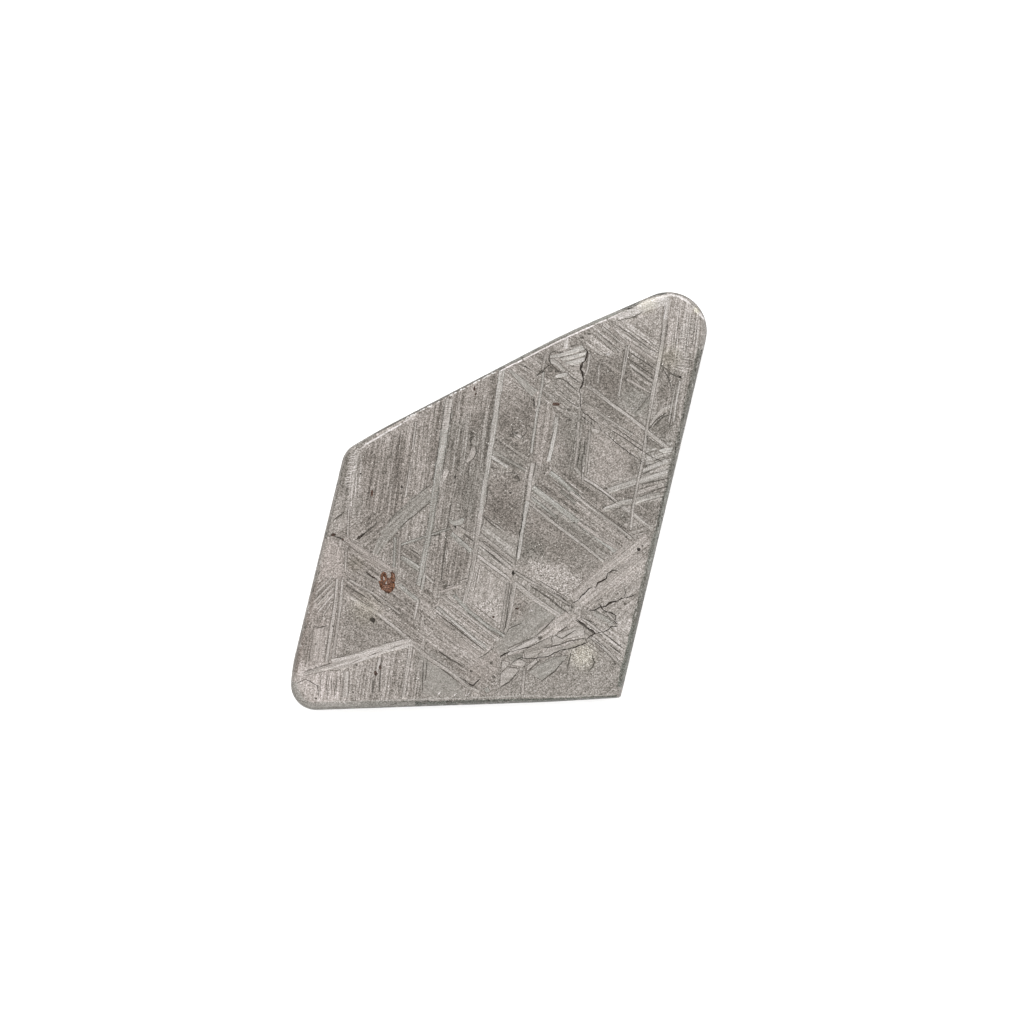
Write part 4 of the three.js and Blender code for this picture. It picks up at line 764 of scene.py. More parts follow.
# Painted highlight (bright, frost, white) and painted shade (olive) on the chamfer at the tip and along
# the top right edge, and the rust patch: metal and outline
RUST_AND_PAINTED_RIM_SHEEN = (
    # Painted highlight and painted shade on the chamfer at the tip and along the top right edge
    ("bright", ((10.5, 13.0), (10.85, 12.98), (11.3, 12.85), (11.75, 12.6), (12.0, 12.37),
                (11.9, 12.3), (11.55, 12.55), (11.12, 12.75), (10.75, 12.86), (10.5, 12.88))),
    ("bright", ((12.06, 12.3), (12.4, 11.98), (12.64, 11.7), (12.77, 11.48), (12.79, 11.36), (12.45, 11.64),
                (12.16, 11.95))),
    ("frost", ((7.1, 11.5), (7.6, 11.8), (8.6, 12.2), (9.4, 12.5), (10.4, 12.8), (10.4, 12.3), (9.4, 12.0),
               (8.8, 11.8), (8.3, 11.6), (7.6, 11.42))),
    ("white", ((8.5, 12.28), (9.2, 12.62), (9.9, 12.84), (10.5, 12.95), (10.5, 12.74), (9.9, 12.52),
               (9.3, 12.3), (8.75, 12.12))),
    ("olive", ((7.6, 12.0), (8.3, 12.22), (8.7, 12.42), (8.82, 12.7), (8.4, 12.55), (7.6, 12.18))),
    ("olive", ((9.4, 12.98), (9.75, 13.08), (10.35, 13.16), (10.42, 13.0), (10.05, 12.93), (9.75, 12.86),
               (9.4, 12.76))),
    # The rust patch and the small marks within it
    ("rust", ((-7.42, -4.46), (-7.26, -4.36), (-7.08, -4.46), (-7.02, -4.7), (-7.04, -4.95), (-7.12, -5.12),
              (-7.34, -5.1), (-7.47, -4.87), (-7.46, -4.6))),
    ("rust", ((-6.8, -4.62), (-6.82, -4.48), (-6.72, -4.4), (-6.64, -4.46), (-6.56, -4.5), (-6.53, -4.75),
              (-6.57, -5.05), (-6.75, -5.1), (-6.85, -4.95), (-6.86, -4.75))),
    ("clay", ((-7.08, -4.78), (-6.8, -4.74), (-6.75, -5.15), (-7.05, -5.25))),
    ("rust", ((-7.58, -4.96), (-7.4, -4.92), (-7.2, -5.05), (-7.06, -5.19), (-6.92, -5.14), (-6.61, -4.99),
              (-6.56, -5.25), (-6.63, -5.5), (-6.78, -5.64), (-6.92, -5.73), (-7.06, -5.72), (-7.23, -5.62),
              (-7.43, -5.47), (-7.53, -5.28))),
    ("clay", ((-7.3, -5.2), (-7.0, -5.22), (-6.9, -5.45), (-7.05, -5.6), (-7.22, -5.5))),
    ("ember", ((-7.5, -5.14), (-7.4, -5.12), (-7.36, -5.4), (-7.46, -5.36))),
    ("ember", ((-7.3, -4.56), (-7.2, -4.5), (-7.1, -4.58), (-7.14, -4.7), (-7.26, -4.68))),
    ("ember", ((-6.82, -4.64), (-6.74, -4.62), (-6.73, -4.86), (-6.8, -4.92))),
    ("ember", ((-6.98, -5.1), (-6.84, -5.08), (-6.82, -5.18), (-6.95, -5.2))),
    ("ember", ((-6.7, -5.02), (-6.58, -5.0), (-6.58, -5.14), (-6.68, -5.14))),
    ("ember", ((-6.66, -5.3), (-6.6, -5.3), (-6.64, -5.5), (-6.72, -5.5))),
    ("ember", ((-7.1, -5.66), (-6.98, -5.64), (-6.9, -5.7), (-7.0, -5.74))),
    ("clay", ((-6.7, -4.56), (-6.61, -4.58), (-6.58, -4.9), (-6.67, -4.96))),
    ("umber", ((-6.86, -4.42), (-6.74, -4.34), (-6.66, -4.38), (-6.72, -4.44), (-6.82, -4.5))),
    ("cream", ((-7.3, -4.68), (-7.24, -4.66), (-7.2, -4.82), (-7.24, -4.92), (-7.3, -4.86))),
    ("cream", ((-7.14, -5.0), (-7.06, -4.99), (-7.04, -5.1), (-7.12, -5.14))),
    ("pale", ((-6.98, -4.62), (-6.84, -4.6), (-6.84, -4.72), (-6.95, -4.74))),
)

# Faint yellow stains, and the cream tint of the painted highlight at the tip and along the top right
# edge (the last two): centre, radius and strength
YELLOW_TINTS = (
    (5.2, -9.6, 1.15, 1.0),
    (10.6, 9.0, 1.0, 0.7),
    (-8.4, -6.7, 1.3, 0.6),
    (-9.0, -3.9, 0.7, 0.5),
    # These two tint the painted highlight on the chamfer
    (9.2, 12.4, 0.8, 0.8),
    (12.36, 12.0, 0.35, 1.5),
)

# Bundles of fine dark lines: start, end, count, step to the next line
COMBS = (
    ((-10.72, -10.65), (-10.85, -12.2), 7, (0.13, 0.02)),
    ((-7.8, 4.0), (-8.1, -0.9), 9, (0.22, 0.05)),
    ((-5.5, 4.9), (-5.9, -0.2), 6, (0.27, 0.1)),
    ((-2.9, 5.9), (-3.4, -1.2), 12, (0.18, 0.12)),
    ((-3.2, 3.6), (-3.5, 1.7), 10, (0.22, 0.05)),
    ((-3.9, -2.2), (-4.3, -5.0), 8, (0.3, -0.05)),
    ((-9.3, -10.8), (-9.4, -12.3), 14, (0.31, 0.03)),
    ((-11.09, -10.59), (-11.2, -12.4), 6, (0.22, 0.0)),
    ((-9.5, -3.4), (-7.4, -4.9), 4, (-0.1, -0.42)),
    ((-9.6, -5.4), (-5.6, -8.4), 5, (0.2, 0.28)),
    ((-3.7, -6.3), (-0.6, -8.7), 5, (0.28, 0.16)),
    ((-4.4, -7.8), (-1.7, -9.9), 4, (0.18, 0.3)),
    ((-1.4, -2.2), (0.8, -3.9), 4, (-0.05, -0.5)),
    ((-3.2, -2.0), (-3.6, -5.0), 4, (-0.16, 0.0)),
    ((-1.6, -3.7), (-2.1, -6.0), 3, (0.22, 0.0)),
    ((2.4, 0.9), (6.9, -2.7), 8, (0.2, 0.2)),
    ((0.6, 8.5), (2.6, 7.0), 5, (0.25, 0.2)),
    ((5.7, 10.7), (7.1, 9.6), 6, (0.28, 0.0)),
    ((7.3, 11.0), (9.7, 9.2), 3, (-0.1, -0.28)),
    ((5.3, 6.5), (8.2, 4.5), 4, (-0.05, -0.28)),
    ((8.1, 8.7), (9.5, 7.6), 5, (-0.1, -0.26)),
    ((3.3, 7.5), (4.9, 6.2), 6, (-0.06, -0.26)),
    ((11.1, 12.0), (10.75, 8.7), 9, (0.19, 0.0)),
    ((11.2, 11.2), (12.6, 10.95), 14, (-0.03, -0.2)),
    ((1.2, -5.5), (3.7, -7.3), 4, (0.22, 0.24)),
    ((5.5, -7.6), (8.0, -9.4), 5, (-0.1, -0.28)),
)

# Short rungs across the upright plates: start, end, count, step to the next rung, lightness
RUNGS = (
    ((-3.42, 6.3), (-2.92, 6.36), 20, (-0.02, -0.14), 0.58),
    ((-3.72, 3.5), (-3.25, 3.56), 16, (-0.035, -0.2), 0.6),
    ((-4.3, 0.6), (-3.9, 0.65), 26, (-0.035, -0.22), 0.58),
    ((-9.45, 2.9), (-8.75, 3.02), 13, (-0.03, -0.17), 0.84),
    ((0.0, 7.9), (0.3, 7.94), 30, (-0.035, -0.21), 0.62),
    ((-4.0, -12.25), (-3.6, -11.8), 3, (0.95, 0.0), 0.95),
    ((11.25, 11.5), (12.35, 11.62), 18, (-0.04, -0.19), 0.73),
    ((0.75, 4.2), (1.5, 4.65), 4, (0.14, -0.24), 0.7),
    ((0.9, 5.4), (1.3, 5.2), 3, (0.2, -0.3), 0.72),
    ((3.95, 8.3), (5.0, 7.45), 5, (0.02, -0.19), 0.7),
)

# Bundles of fine light lines: start, end, count, step to the next line
LIGHT_COMBS = (
    ((11.2, 11.1), (12.55, 10.85), 15, (-0.03, -0.2)),
    ((11.05, 12.3), (10.7, 8.4), 9, (0.19, 0.0)),
    ((-9.2, 3.1), (-9.5, -1.0), 4, (0.18, 0.0)),
    ((-12.9, -11.2), (-11.6, -10.8), 5, (0.15, -0.24)),
    ((-3.5, 5.9), (-3.1, 5.95), 8, (-0.03, -0.2)),
    ((-4.1, -6.4), (-1.6, -8.5), 4, (0.12, 0.16)),
    ((2.6, 1.6), (5.5, -0.7), 4, (0.25, 0.14)),
    ((-1.1, -2.4), (0.9, -3.95), 4, (-0.06, -0.3)),
    ((6.9, 11.0), (8.9, 9.5), 5, (0.22, 0.1)),
    ((-3.1, -2.0), (-3.5, -5.0), 4, (-0.16, 0.0)),
    ((-1.5, -3.7), (-2.0, -6.0), 3, (0.22, 0.0)),
    ((5.6, -7.5), (7.9, -9.2), 2, (-0.06, -0.5)),
)


class Pattern:
    """Polygons laid over each other on a flat face. The last one laid on a spot shows there."""

    def __init__(self, seed):
        self.random = random.Random(seed)
        self.points = []
        self.polygons = []
        self.looks = []
        self.depths = []
        self.edges = []

    def lay(self, outline, look, depth=0.0):
        pairs = zip(outline, [*outline[1:], outline[0]])
        if sum(x0 * y1 - x1 * y0 for (x0, y0), (x1, y1) in pairs) < 0:
            outline = outline[::-1]
        first = len(self.points)
        self.points += [Vector(point) for point in outline]
        self.polygons.append(list(range(first, len(self.points))))
        self.looks.append(look)
        self.depths.append(depth)

    def mark_edge(self, ring):
        first = len(self.points)
        count = len(ring)
        self.points += [Vector(point) for point in ring]
        self.edges += [(first + i, first + (i + 1) % count) for i in range(count)]

    def waver(self, amount):
        return self.random.uniform(-amount, amount)


def direction(start, end):
    """Angle in degrees of the line from start to end."""
    return math.degrees(math.atan2(end[1] - start[1], end[0] - start[0]))


def resample(path, step):
    """The path with points added, so that they lie about a step apart."""
    points = [path[0]]
    for start, end in zip(path, path[1:]):
        pieces = max(1, round(math.dist(start, end) / step))
        points += [
            (start[0] + (end[0] - start[0]) * i / pieces, start[1] + (end[1] - start[1]) * i / pieces)
            for i in range(1, pieces + 1)
        ]
    return points


def ribbon(pattern, path, start_width, end_width, step=0.45, waver=0.06, point=0.0):
    """Outline of a band along a path, slightly uneven. point narrows its ends."""
    points = resample(path, step)
    last = len(points) - 1
    left, right = [], []
    for i, (x, y) in enumerate(points):
        before, after = points[max(i - 1, 0)], points[min(i + 1, last)]
        angle = math.atan2(after[1] - before[1], after[0] - before[0]) + math.pi / 2
        width = start_width + (end_width - start_width) * i / last
        width *= 1 - point * abs(2 * i / last - 1) ** 3
        sway = pattern.waver(waver * 0.12)
        for side, sign in ((left, 1), (right, -1)):
            reach = sway + sign * width / 2 * (1 + pattern.waver(waver * 2.5))
            side.append((x + math.cos(angle) * reach, y + math.sin(angle) * reach))
    return right + left[::-1]


def uneven(pattern, outline, step, amount):
    """The outline with points about a step apart, each moved by up to the amount."""
    closed = resample([*outline, outline[0]], step)[:-1]
    return [(x + pattern.waver(amount), y + pattern.waver(amount)) for x, y in closed]


def lay_field(pattern, tone, warmth, grain, streak, angle, outline):
    pattern.lay(uneven(pattern, outline, 0.7, 0.07), Look(tone, warmth, grain, streak, angle))


def lay_plate(pattern, metal, start_width, end_width, path, depth):
    """A plate of metal etched below the face, with a darker edge round it."""
    tone, warmth = METAL[metal]
    angle = direction(path[0], path[-1])
    edge = ribbon(pattern, path, start_width + EDGE_REACH, end_width + EDGE_REACH, step=0.3, waver=0.1)
    floor = ribbon(pattern, path, start_width, end_width)
    edge_tone = tone - SOFT_EDGE_DARKER if metal in SOFT_METALS else min(tone - EDGE_DARKER, EDGE_TONE)
    pattern.lay(edge, Look(edge_tone, warmth, 0.9, 0.5, angle))
    pattern.lay(floor, Look(tone + pattern.waver(0.015), warmth, 0.8, 0.6, angle), depth)


def lay_seam(pattern, width, path, tone, warmth, depth, jag=0.1):
    """A dark groove along a path, narrow at both ends."""
    angle = direction(path[0], path[-1])
    state = pattern.random.getstate()
    edge = ribbon(pattern, path, width, width, step=0.24, waver=jag, point=0.6)
    pattern.random.setstate(state)
    floor = ribbon(pattern, path, width * 0.4, width * 0.4, step=0.24, waver=jag, point=0.6)
    pattern.lay(edge, Look(tone + 0.05, warmth, 0.8, 0.3, angle))
    pattern.lay(floor, Look(tone - 0.04, warmth, 0.6, 0.3, angle), depth)


def lay_grain(pattern, metal, outline):
    tone, warmth = METAL[metal]
    middle = [sum(axis) / len(outline) for axis in zip(*outline)]
    angle = direction(outline[0], outline[len(outline) // 2])
    border = []
    for x, y in outline:
        away = math.dist((x, y), middle)
        reach = 1 + (0.055 + pattern.waver(0.03)) / away
        border.append((middle[0] + (x - middle[0]) * reach, middle[1] + (y - middle[1]) * reach))
    pattern.lay(border, Look(CRYSTAL_BORDER_TONE, 0.2, 0.7, 0.2, angle))
    pattern.lay(outline, Look(tone, warmth, 0.6, 0.4, angle), CRYSTAL_DEPTH)


def lay_spot(pattern, x, y, across, along, metal):
    tone, warmth = METAL[metal]
    turn = pattern.random.uniform(0, math.tau)
    shape = [1 + pattern.waver(0.3) for _ in range(SPOT_SIDES)]
    for size, lift, depth in ((1.0, 0.1, 0.0), (0.65, 0.0, SPOT_DEPTH)):
        ring = [
            (x + across / 2 * size * reach * math.cos(turn + i * math.tau / SPOT_SIDES),
             y + along / 2 * size * reach * math.sin(turn + i * math.tau / SPOT_SIDES))
            for i, reach in enumerate(shape)
        ]
        pattern.lay(ring, Look(tone + lift, warmth, 0.5, 0.1, 0.0), depth)


# Paints one band of highlight or of shade onto the chamfer
def lay_painted_rim_band(pattern, tone, warmth, insets, widths, ends):
    path = rim_path(*ends, *insets)
    outline = ribbon(pattern, path, *widths, step=0.4, waver=0.08)
    pattern.lay(outline, Look(tone, warmth, 0.8, 0.3, direction(path[0], path[-1])))


def lay_nicks_and_glints(pattern, stretch, count, insets, tones):
    """Short marks scattered along a stretch of one edge of the rim: nicks, and painted glints and flecks of
    shade.
    """
    edge = int(stretch[0])
    length = math.dist(CORNERS[edge].at, CORNERS[(edge + 1) % len(CORNERS)].at)
    for _ in range(count):
        start = pattern.random.uniform(*stretch)
        size = pattern.random.uniform(*RIM_MARK_LENGTHS)
        inset = pattern.random.uniform(*insets)
        path = rim_path(start, start + size / length, inset, inset + pattern.waver(0.03))
        look = Look(pattern.random.uniform(*tones), -0.6, 0.9, 0.2, direction(path[0], path[-1]))
        pattern.lay(ribbon(pattern, path, *RIM_MARK_WIDTHS), look)


# Lays a patch of rust, or a patch of painted highlight or shade on the chamfer
def lay_rust_or_painted_sheen(pattern, metal, outline):
    tone, warmth = METAL[metal]
    look = Look(tone, warmth, 0.95, 0.2, 0.0)
    pattern.lay(uneven(pattern, outline, 0.14, 0.035), look, PATCH_DEPTH)


def lay_comb(pattern, start, end, count, step, tone, depth):
    """A bundle of fine lines, each a little out of place and of its own length."""
    for i in range(count):
        shift = (step[0] * i + pattern.waver(0.06), step[1] * i + pattern.waver(0.06))
        ends = [
            (start[0] + (end[0] - start[0]) * share + shift[0],
             start[1] + (end[1] - start[1]) * share + shift[1])
            for share in (pattern.random.uniform(0, 0.35), pattern.random.uniform(0.65, 1))
        ]
        step_along = min(0.6, math.dist(*ends) / 2)
        outline = ribbon(pattern, ends, *LINE_WIDTHS, step=step_along, waver=0.12, point=0.7)
        look = Look(tone + pattern.waver(0.03), 0.2, 0.9, 0.3, direction(*ends))
        pattern.lay(outline, look, depth)


def face_pattern(depths, seed, outline):
    """Everything that the etched face shows, from the ground up."""
    pattern = Pattern(seed)
    pattern.lay(outline, GROUND_LOOK)
    for field in FIELDS:
        lay_field(pattern, *field)
    for comb in LIGHT_COMBS:
        lay_comb(pattern, *comb, LIGHT_LINE_TONE, 0.0)
    for comb in COMBS:
        lay_comb(pattern, *comb, DARK_LINE_TONE, DARK_LINE_DEPTH)
    for plates, depth in (
        (FALLING_PLATES, depths["falling"]),
        (SHALLOW_PLATES, depths["shallow"]),
        (RISING_PLATES, depths["rising"]),
        (UPRIGHT_PLATES, depths["upright"]),
    ):
        for plate in plates:
            lay_plate(pattern, *plate, depth)
    for comb in RUNGS:
        lay_comb(pattern, *comb, 0.0)
    for grain in GRAINS:
        lay_grain(pattern, *grain)
    for width, path in SEAMS:
        lay_seam(pattern, width, path, SEAM_TONE, SEAM_WARMTH, SEAM_DEPTH)
    # Painted highlights and painted shade along the chamfer
    for band in PAINTED_RIM_LIGHT_AND_SHADE:
        lay_painted_rim_band(pattern, *band)
    # Nicks, painted glints and flecks of painted shade along the rim
    for stretch in RIM_NICKS_AND_GLINTS:
        lay_nicks_and_glints(pattern, *stretch)
    # The painted highlight and shade at the tip, and the rust patch
    for rust_or_sheen in RUST_AND_PAINTED_RIM_SHEEN:
        lay_rust_or_painted_sheen(pattern, *rust_or_sheen)
    for width, path in CRACKS:
        lay_seam(pattern, width * CRACK_SHARE, path, CRACK_TONE, CRACK_WARMTH, CRACK_DEPTH, jag=0.3)
    for spot in SPOTS:
        lay_spot(pattern, *spot)
    return pattern


def rim(share, margin=0.0):
    """The outline moved in by a share of the chamfer and a margin: its points, and the chamfer's
    width at each of them."""
    lines = []
    for i, corner in enumerate(CORNERS):
        start, end = corner.at, CORNERS[(i + 1) % len(CORNERS)].at
        length = math.dist(start, end)
        along = ((end[0] - start[0]) / length, (end[1] - start[1]) / length)
        near, far = corner.near * share + margin, corner.far * share + margin
        first = (start[0] - along[1] * near, start[1] + along[0] * near)
        last = (end[0] - along[1] * far, end[1] + along[0] * far)
        lines.append((first, last))
    points, widths = [], []
    for i, corner in enumerate(CORNERS):
        before, after = CORNERS[i - 1], corner
        (a, b), (c, d) = lines[i - 1], lines[i]
        u, v = (b[0] - a[0], b[1] - a[1]), (d[0] - c[0], d[1] - c[1])
        reach = ((c[0] - a[0]) * v[1] - (c[1] - a[1]) * v[0]) / (u[0] * v[1] - u[1] * v[0])
        x, y = a[0] + u[0] * reach, a[1] + u[1] * reach
        start_angle = math.atan2(u[1], u[0]) - math.pi / 2
        turn = (math.atan2(v[1], v[0]) - math.atan2(u[1], u[0])) % math.tau
        inset = (before.far + after.near) / 2 * share + margin
        radius = max(corner.radius - inset, SMALLEST_RADIUS)
        bisector = start_angle + turn / 2
        centre = (x - radius / math.cos(turn / 2) * math.cos(bisector),
                  y - radius / math.cos(turn / 2) * math.sin(bisector))
        for step in range(corner.steps + 1):
            angle = start_angle + turn * step / corner.steps
            points.append((centre[0] + radius * math.cos(angle), centre[1] + radius * math.sin(angle)))
            widths.append(before.far + (after.near - before.far) * step / corner.steps)
    return points, widths


def rim_path(first, last, first_inset, last_inset):
    """The path along the rim between two places, at an inset that changes evenly between them."""
    rings = []
    for inset in (first_inset, last_inset):
        ring, arcs, at = rim(0, inset)[0], [], 0
        for corner in CORNERS:
            arcs.append(ring[at:at + corner.steps + 1])
            at += corner.steps + 1
        points = []
        for place in (first, last):
            number = int(place)
            (x0, y0), (x1, y1) = arcs[number % len(arcs)][-1], arcs[(number + 1) % len(arcs)][0]
            share = place - number
            points.append((x0 + (x1 - x0) * share, y0 + (y1 - y0) * share))
        between = [p for i in range(int(first) + 1, math.ceil(last)) for p in arcs[i % len(arcs)]]
        rings.append([points[0], *between, points[1]])
    count = len(rings[0]) - 1
    return [
        (a[0] + (b[0] - a[0]) * i / count, a[1] + (b[1] - a[1]) * i / count)
        for i, (a, b) in enumerate(zip(*rings))
    ]


def drop_at(points, chamfer_drop):
    """How far the chamfer has fallen below the face at each point."""
    ring, widths = rim(0)
    best = np.full(len(points), 1e9)
    share = np.ones(len(points))
    for i, (x0, y0) in enumerate(ring):
        x1, y1 = ring[(i + 1) % len(ring)]
        w0, w1 = widths[i], widths[(i + 1) % len(ring)]
        dx, dy = x1 - x0, y1 - y0
        t = ((points[:, 0] - x0) * dx + (points[:, 1] - y0) * dy) / max(dx * dx + dy * dy, 1e-9)
        t = np.clip(t, 0, 1)
        far = np.hypot(points[:, 0] - x0 - t * dx, points[:, 1] - y0 - t * dy)
        nearer = far < best
        best[nearer] = far[nearer]
        share[nearer] = (far / (w0 + (w1 - w0) * t))[nearer]
    return chamfer_drop * (1 - np.clip(share, 0, 1)) ** CHAMFER_CURVE


def inside(points, outline):
    """Which points lie inside the outline."""
    result = np.zeros(len(points), bool)
    x, y = points[:, 0], points[:, 1]
    for (x0, y0), (x1, y1) in zip(outline, list(outline[1:]) + [outline[0]]):
        crosses = (y0 > y) != (y1 > y)
        result ^= crosses & (x < (x1 - x0) * (y - y0) / ((y1 - y0) or 1e-9) + x0)
    return result


def blurred_ground(points, polygons, looks):
    """Lightness and warmth of the ground at each point, with soft borders between the fields."""
    cells = np.arange(-14, 14, GROUND_CELL)
    grid_x, grid_y = np.meshgrid(cells, cells)
    grid = np.column_stack((grid_x.ravel(), grid_y.ravel()))
    shade = np.tile([looks[0].tone, looks[0].warmth], (len(grid), 1))
    for polygon, look in zip(polygons[1:], looks[1:]):
        shade[inside(grid, polygon)] = look.tone, look.warmth
    shade = shade.reshape(len(cells), len(cells), 2)
    for _ in range(GROUND_BLURS):
        for axis in (0, 1):
            shade = (np.roll(shade, 1, axis) + shade + np.roll(shade, -1, axis)) / 3
    place = np.clip((points - cells[0]) / GROUND_CELL, 0, len(cells) - 2)
    low = place.astype(int)
    part = place - low
    result = 0
    for i in (0, 1):
        for j in (0, 1):
            weight = (part[:, 0] if i else 1 - part[:, 0]) * (part[:, 1] if j else 1 - part[:, 1])
            result = result + shade[low[:, 1] + j, low[:, 0] + i] * weight[:, None]
    return result


class Surface:
    """A mesh under construction, with the look of every corner of its faces."""

    def __init__(self):
        self.points = []
        self.faces = []
        self.looks = []

    def add_points(self, points):
        first = len(self.points)
        self.points += [tuple(point) for point in points]
        return first

    def add_face(self, face, looks):
        self.faces.append(tuple(face))
        self.looks += looks

    def make(self, name):
        mesh = bpy.data.meshes.new(name)
        mesh.from_pydata([[value * MM for value in point] for point in self.points], [], self.faces)
        values = np.array(self.looks, dtype=np.float32)
        for column, label in enumerate(Look._fields):
            attribute = mesh.attributes.new(label, "FLOAT", "CORNER")
            attribute.data.foreach_set("value", np.ascontiguousarray(values[:, column]))
        mesh.update()
        return mesh


def boundary_loop(faces):
    """The outer border of a sheet of faces, in the faces' own turning direction."""
    edges = set()
    for face in faces:
        edges |= {(face[i - 1], face[i]) for i in range(len(face))}
    follow = {a: b for a, b in edges if (b, a) not in edges}
    start = next(iter(follow))
    loop = [start]
    while follow[loop[-1]] != start:
        loop.append(follow[loop[-1]])
    if len(loop) != len(follow):
        raise RuntimeError("the sheet has more than one border")
    return loop


def top_polygons(flat, faces, sources, shapes):
    """The last polygon laid over each face, or -1 off the slice."""
    middles = np.array([flat[list(face)].mean(axis=0) for face in faces])
    members = {}
    for number, source in enumerate(sources):
        for polygon in source:
            members.setdefault(polygon, []).append(number)
    tops = np.full(len(faces), -1)
    on_slice = inside(middles, shapes[0])
    for polygon in sorted(members):
        rows = np.array(members[polygon])
        tops[rows[inside(middles[rows], shapes[polygon]) & on_slice[rows]]] = polygon
    return tops


def add_sheet(surface, pattern, height, flip, chamfer_drop, ground_count):
    """Adds the pattern as a sheet cut to its first outline, and returns the sheet's border."""
    points, _, faces, _, _, sources = delaunay_2d_cdt(
        pattern.points, pattern.edges, pattern.polygons, 0, CDT_STEP, True)
    flat = np.array([tuple(point) for point in points])
    shapes = [[tuple(pattern.points[i]) for i in polygon] for polygon in pattern.polygons]
    tops = top_polygons(flat, faces, sources, shapes)
    kept = [(face, top) for face, top in zip(faces, tops) if top >= 0]
    depth = np.zeros(len(flat))
    for face, top in kept:
        for corner in face:
            depth[corner] = min(depth[corner], pattern.depths[top])
    drop = drop_at(flat, chamfer_drop) if chamfer_drop else np.zeros(len(flat))
    ground = blurred_ground(flat, shapes[:ground_count], pattern.looks[:ground_count])
    used = sorted({corner for face, _ in kept for corner in face})
    first = surface.add_points(
        (flat[i][0], flat[i][1], height + (-1 if flip else 1) * (depth[i] - drop[i])) for i in used)
    number = {old: first + new for new, old in enumerate(used)}
    for face, top in kept:
        look = pattern.looks[top]
        corners = face[::-1] if flip else face
        if top < ground_count:
            looks = [(ground[i][0], ground[i][1], *look[2:]) for i in corners]
        else:
            looks = [tuple(look)] * len(face)
        surface.add_face([number[i] for i in corners], looks)
    return boundary_loop([[number[i] for i in face] for face, _ in kept])


def zip_borders(surface, upper, lower, look):
    """Closes the gap between two borders that run the same way with a band of triangles."""
    def lengths(loop):
        steps = [math.dist(surface.points[a], surface.points[b]) for a, b in zip(loop, loop[1:] + loop[:1])]
        return [sum(steps[:i]) / sum(steps) for i in range(len(steps))] + [1.0]

    first = surface.points[upper[0]]
    start = min(range(len(lower)), key=lambda i: math.dist(first, surface.points[lower[i]]))
    lower = lower[start:] + lower[:start]
    upper_share, lower_share = lengths(upper), lengths(lower)
    i = j = 0
    while i < len(upper) or j < len(lower):
        a, b = upper[i % len(upper)], lower[j % len(lower)]
        if j == len(lower) or (i < len(upper) and upper_share[i + 1] <= lower_share[j + 1]):
            surface.add_face((a, b, upper[(i + 1) % len(upper)]), [look] * 3)
            i += 1
        else:
            surface.add_face((a, b, lower[(j + 1) % len(lower)]), [look] * 3)
            j += 1


def ground_points(pattern, spacing):
    """Scatters points over the face, so that the ground's shade can change between the plates."""
    steps = int(2 * FACE_REACH / spacing)
    for i in range(steps):
        for j in range(steps):
            x = -FACE_REACH + (i + 0.5 + pattern.waver(0.3)) * spacing
            y = -FACE_REACH + (j + 0.5 + pattern.waver(0.3)) * spacing
            pattern.points.append(Vector((x, y)))


def build_slice_mesh(settings):
    """The whole slice in one closed mesh: etched face, sawn wall and sawn back."""
    depths = {
        "upright": -settings.upright_depth / MM,
        "falling": -settings.falling_depth / MM,
        "rising": -settings.rising_depth / MM,
        "shallow": -settings.shallow_depth / MM,
    }
    drop = settings.chamfer_drop / MM
    surface = Surface()
    front = face_pattern(depths, settings.seed, rim(0)[0])
    for share in CHAMFER_RINGS:
        front.mark_edge(rim(share)[0])
    ground_points(front, GROUND_SPACING)
    border = add_sheet(surface, front, THICKNESS, False, drop, len(FIELDS) + 1)

    marks = random.Random(settings.seed)
    above = border
    for level in WALL_LEVELS:
        scratch = marks.uniform(0, WALL_SCRATCH)
        ring = [surface.points[i] for i in border]
        first = surface.add_points(shrink(ring, scratch, level))
        below = list(range(first, first + len(border)))
        count = len(border)
        for i in range(count):
            j = (i + 1) % count
            surface.add_face((above[i], below[i], below[j], above[j]), [WALL_LOOK] * 4)
        above = below

    back = back_pattern(settings.seed, rim(0, BACK_BREAK)[0])
    ground_points(back, BACK_SPACING)
    back_border = add_sheet(surface, back, 0.0, True, 0.0, 1)
    zip_borders(surface, above, back_border, WALL_LOOK)
    return surface.make("meteorite_slice")


def shrink(ring, amount, height):
    """The ring moved in by an amount and set at a height."""
    result = []
    for i, point in enumerate(ring):
        before, after = ring[i - 1], ring[(i + 1) % len(ring)]
        dx, dy = after[0] - before[0], after[1] - before[1]
        length = math.hypot(dx, dy) or 1.0
        result.append((point[0] - dy / length * amount, point[1] + dx / length * amount, height))
    return result


def back_pattern(seed, outline):
    """The sawn back: the same plates, met further down their slopes, etched more faintly."""
    pattern = Pattern(seed + 1)
    pattern.lay(outline, BACK_LOOK)
    for plates, shift in (
        (FALLING_PLATES, (0.5, 0.75)),
        (SHALLOW_PLATES, (-0.3, 0.9)),
        (RISING_PLATES, (-0.6, 0.8)),
        (UPRIGHT_PLATES, (0.9, 0.2)),
    ):
        for metal, start_width, end_width, path in plates:
            moved = [(x + shift[0], y + shift[1]) for x, y in path]
            band = ribbon(pattern, moved, start_width, end_width, step=0.9)
            tone, warmth = METAL[metal]
            look = Look(tone * BACK_CONTRAST + BACK_LIFT, warmth, 0.8, 0.9, SAW_ANGLE)
            pattern.lay(band, look, BACK_DEPTH)
    return pattern


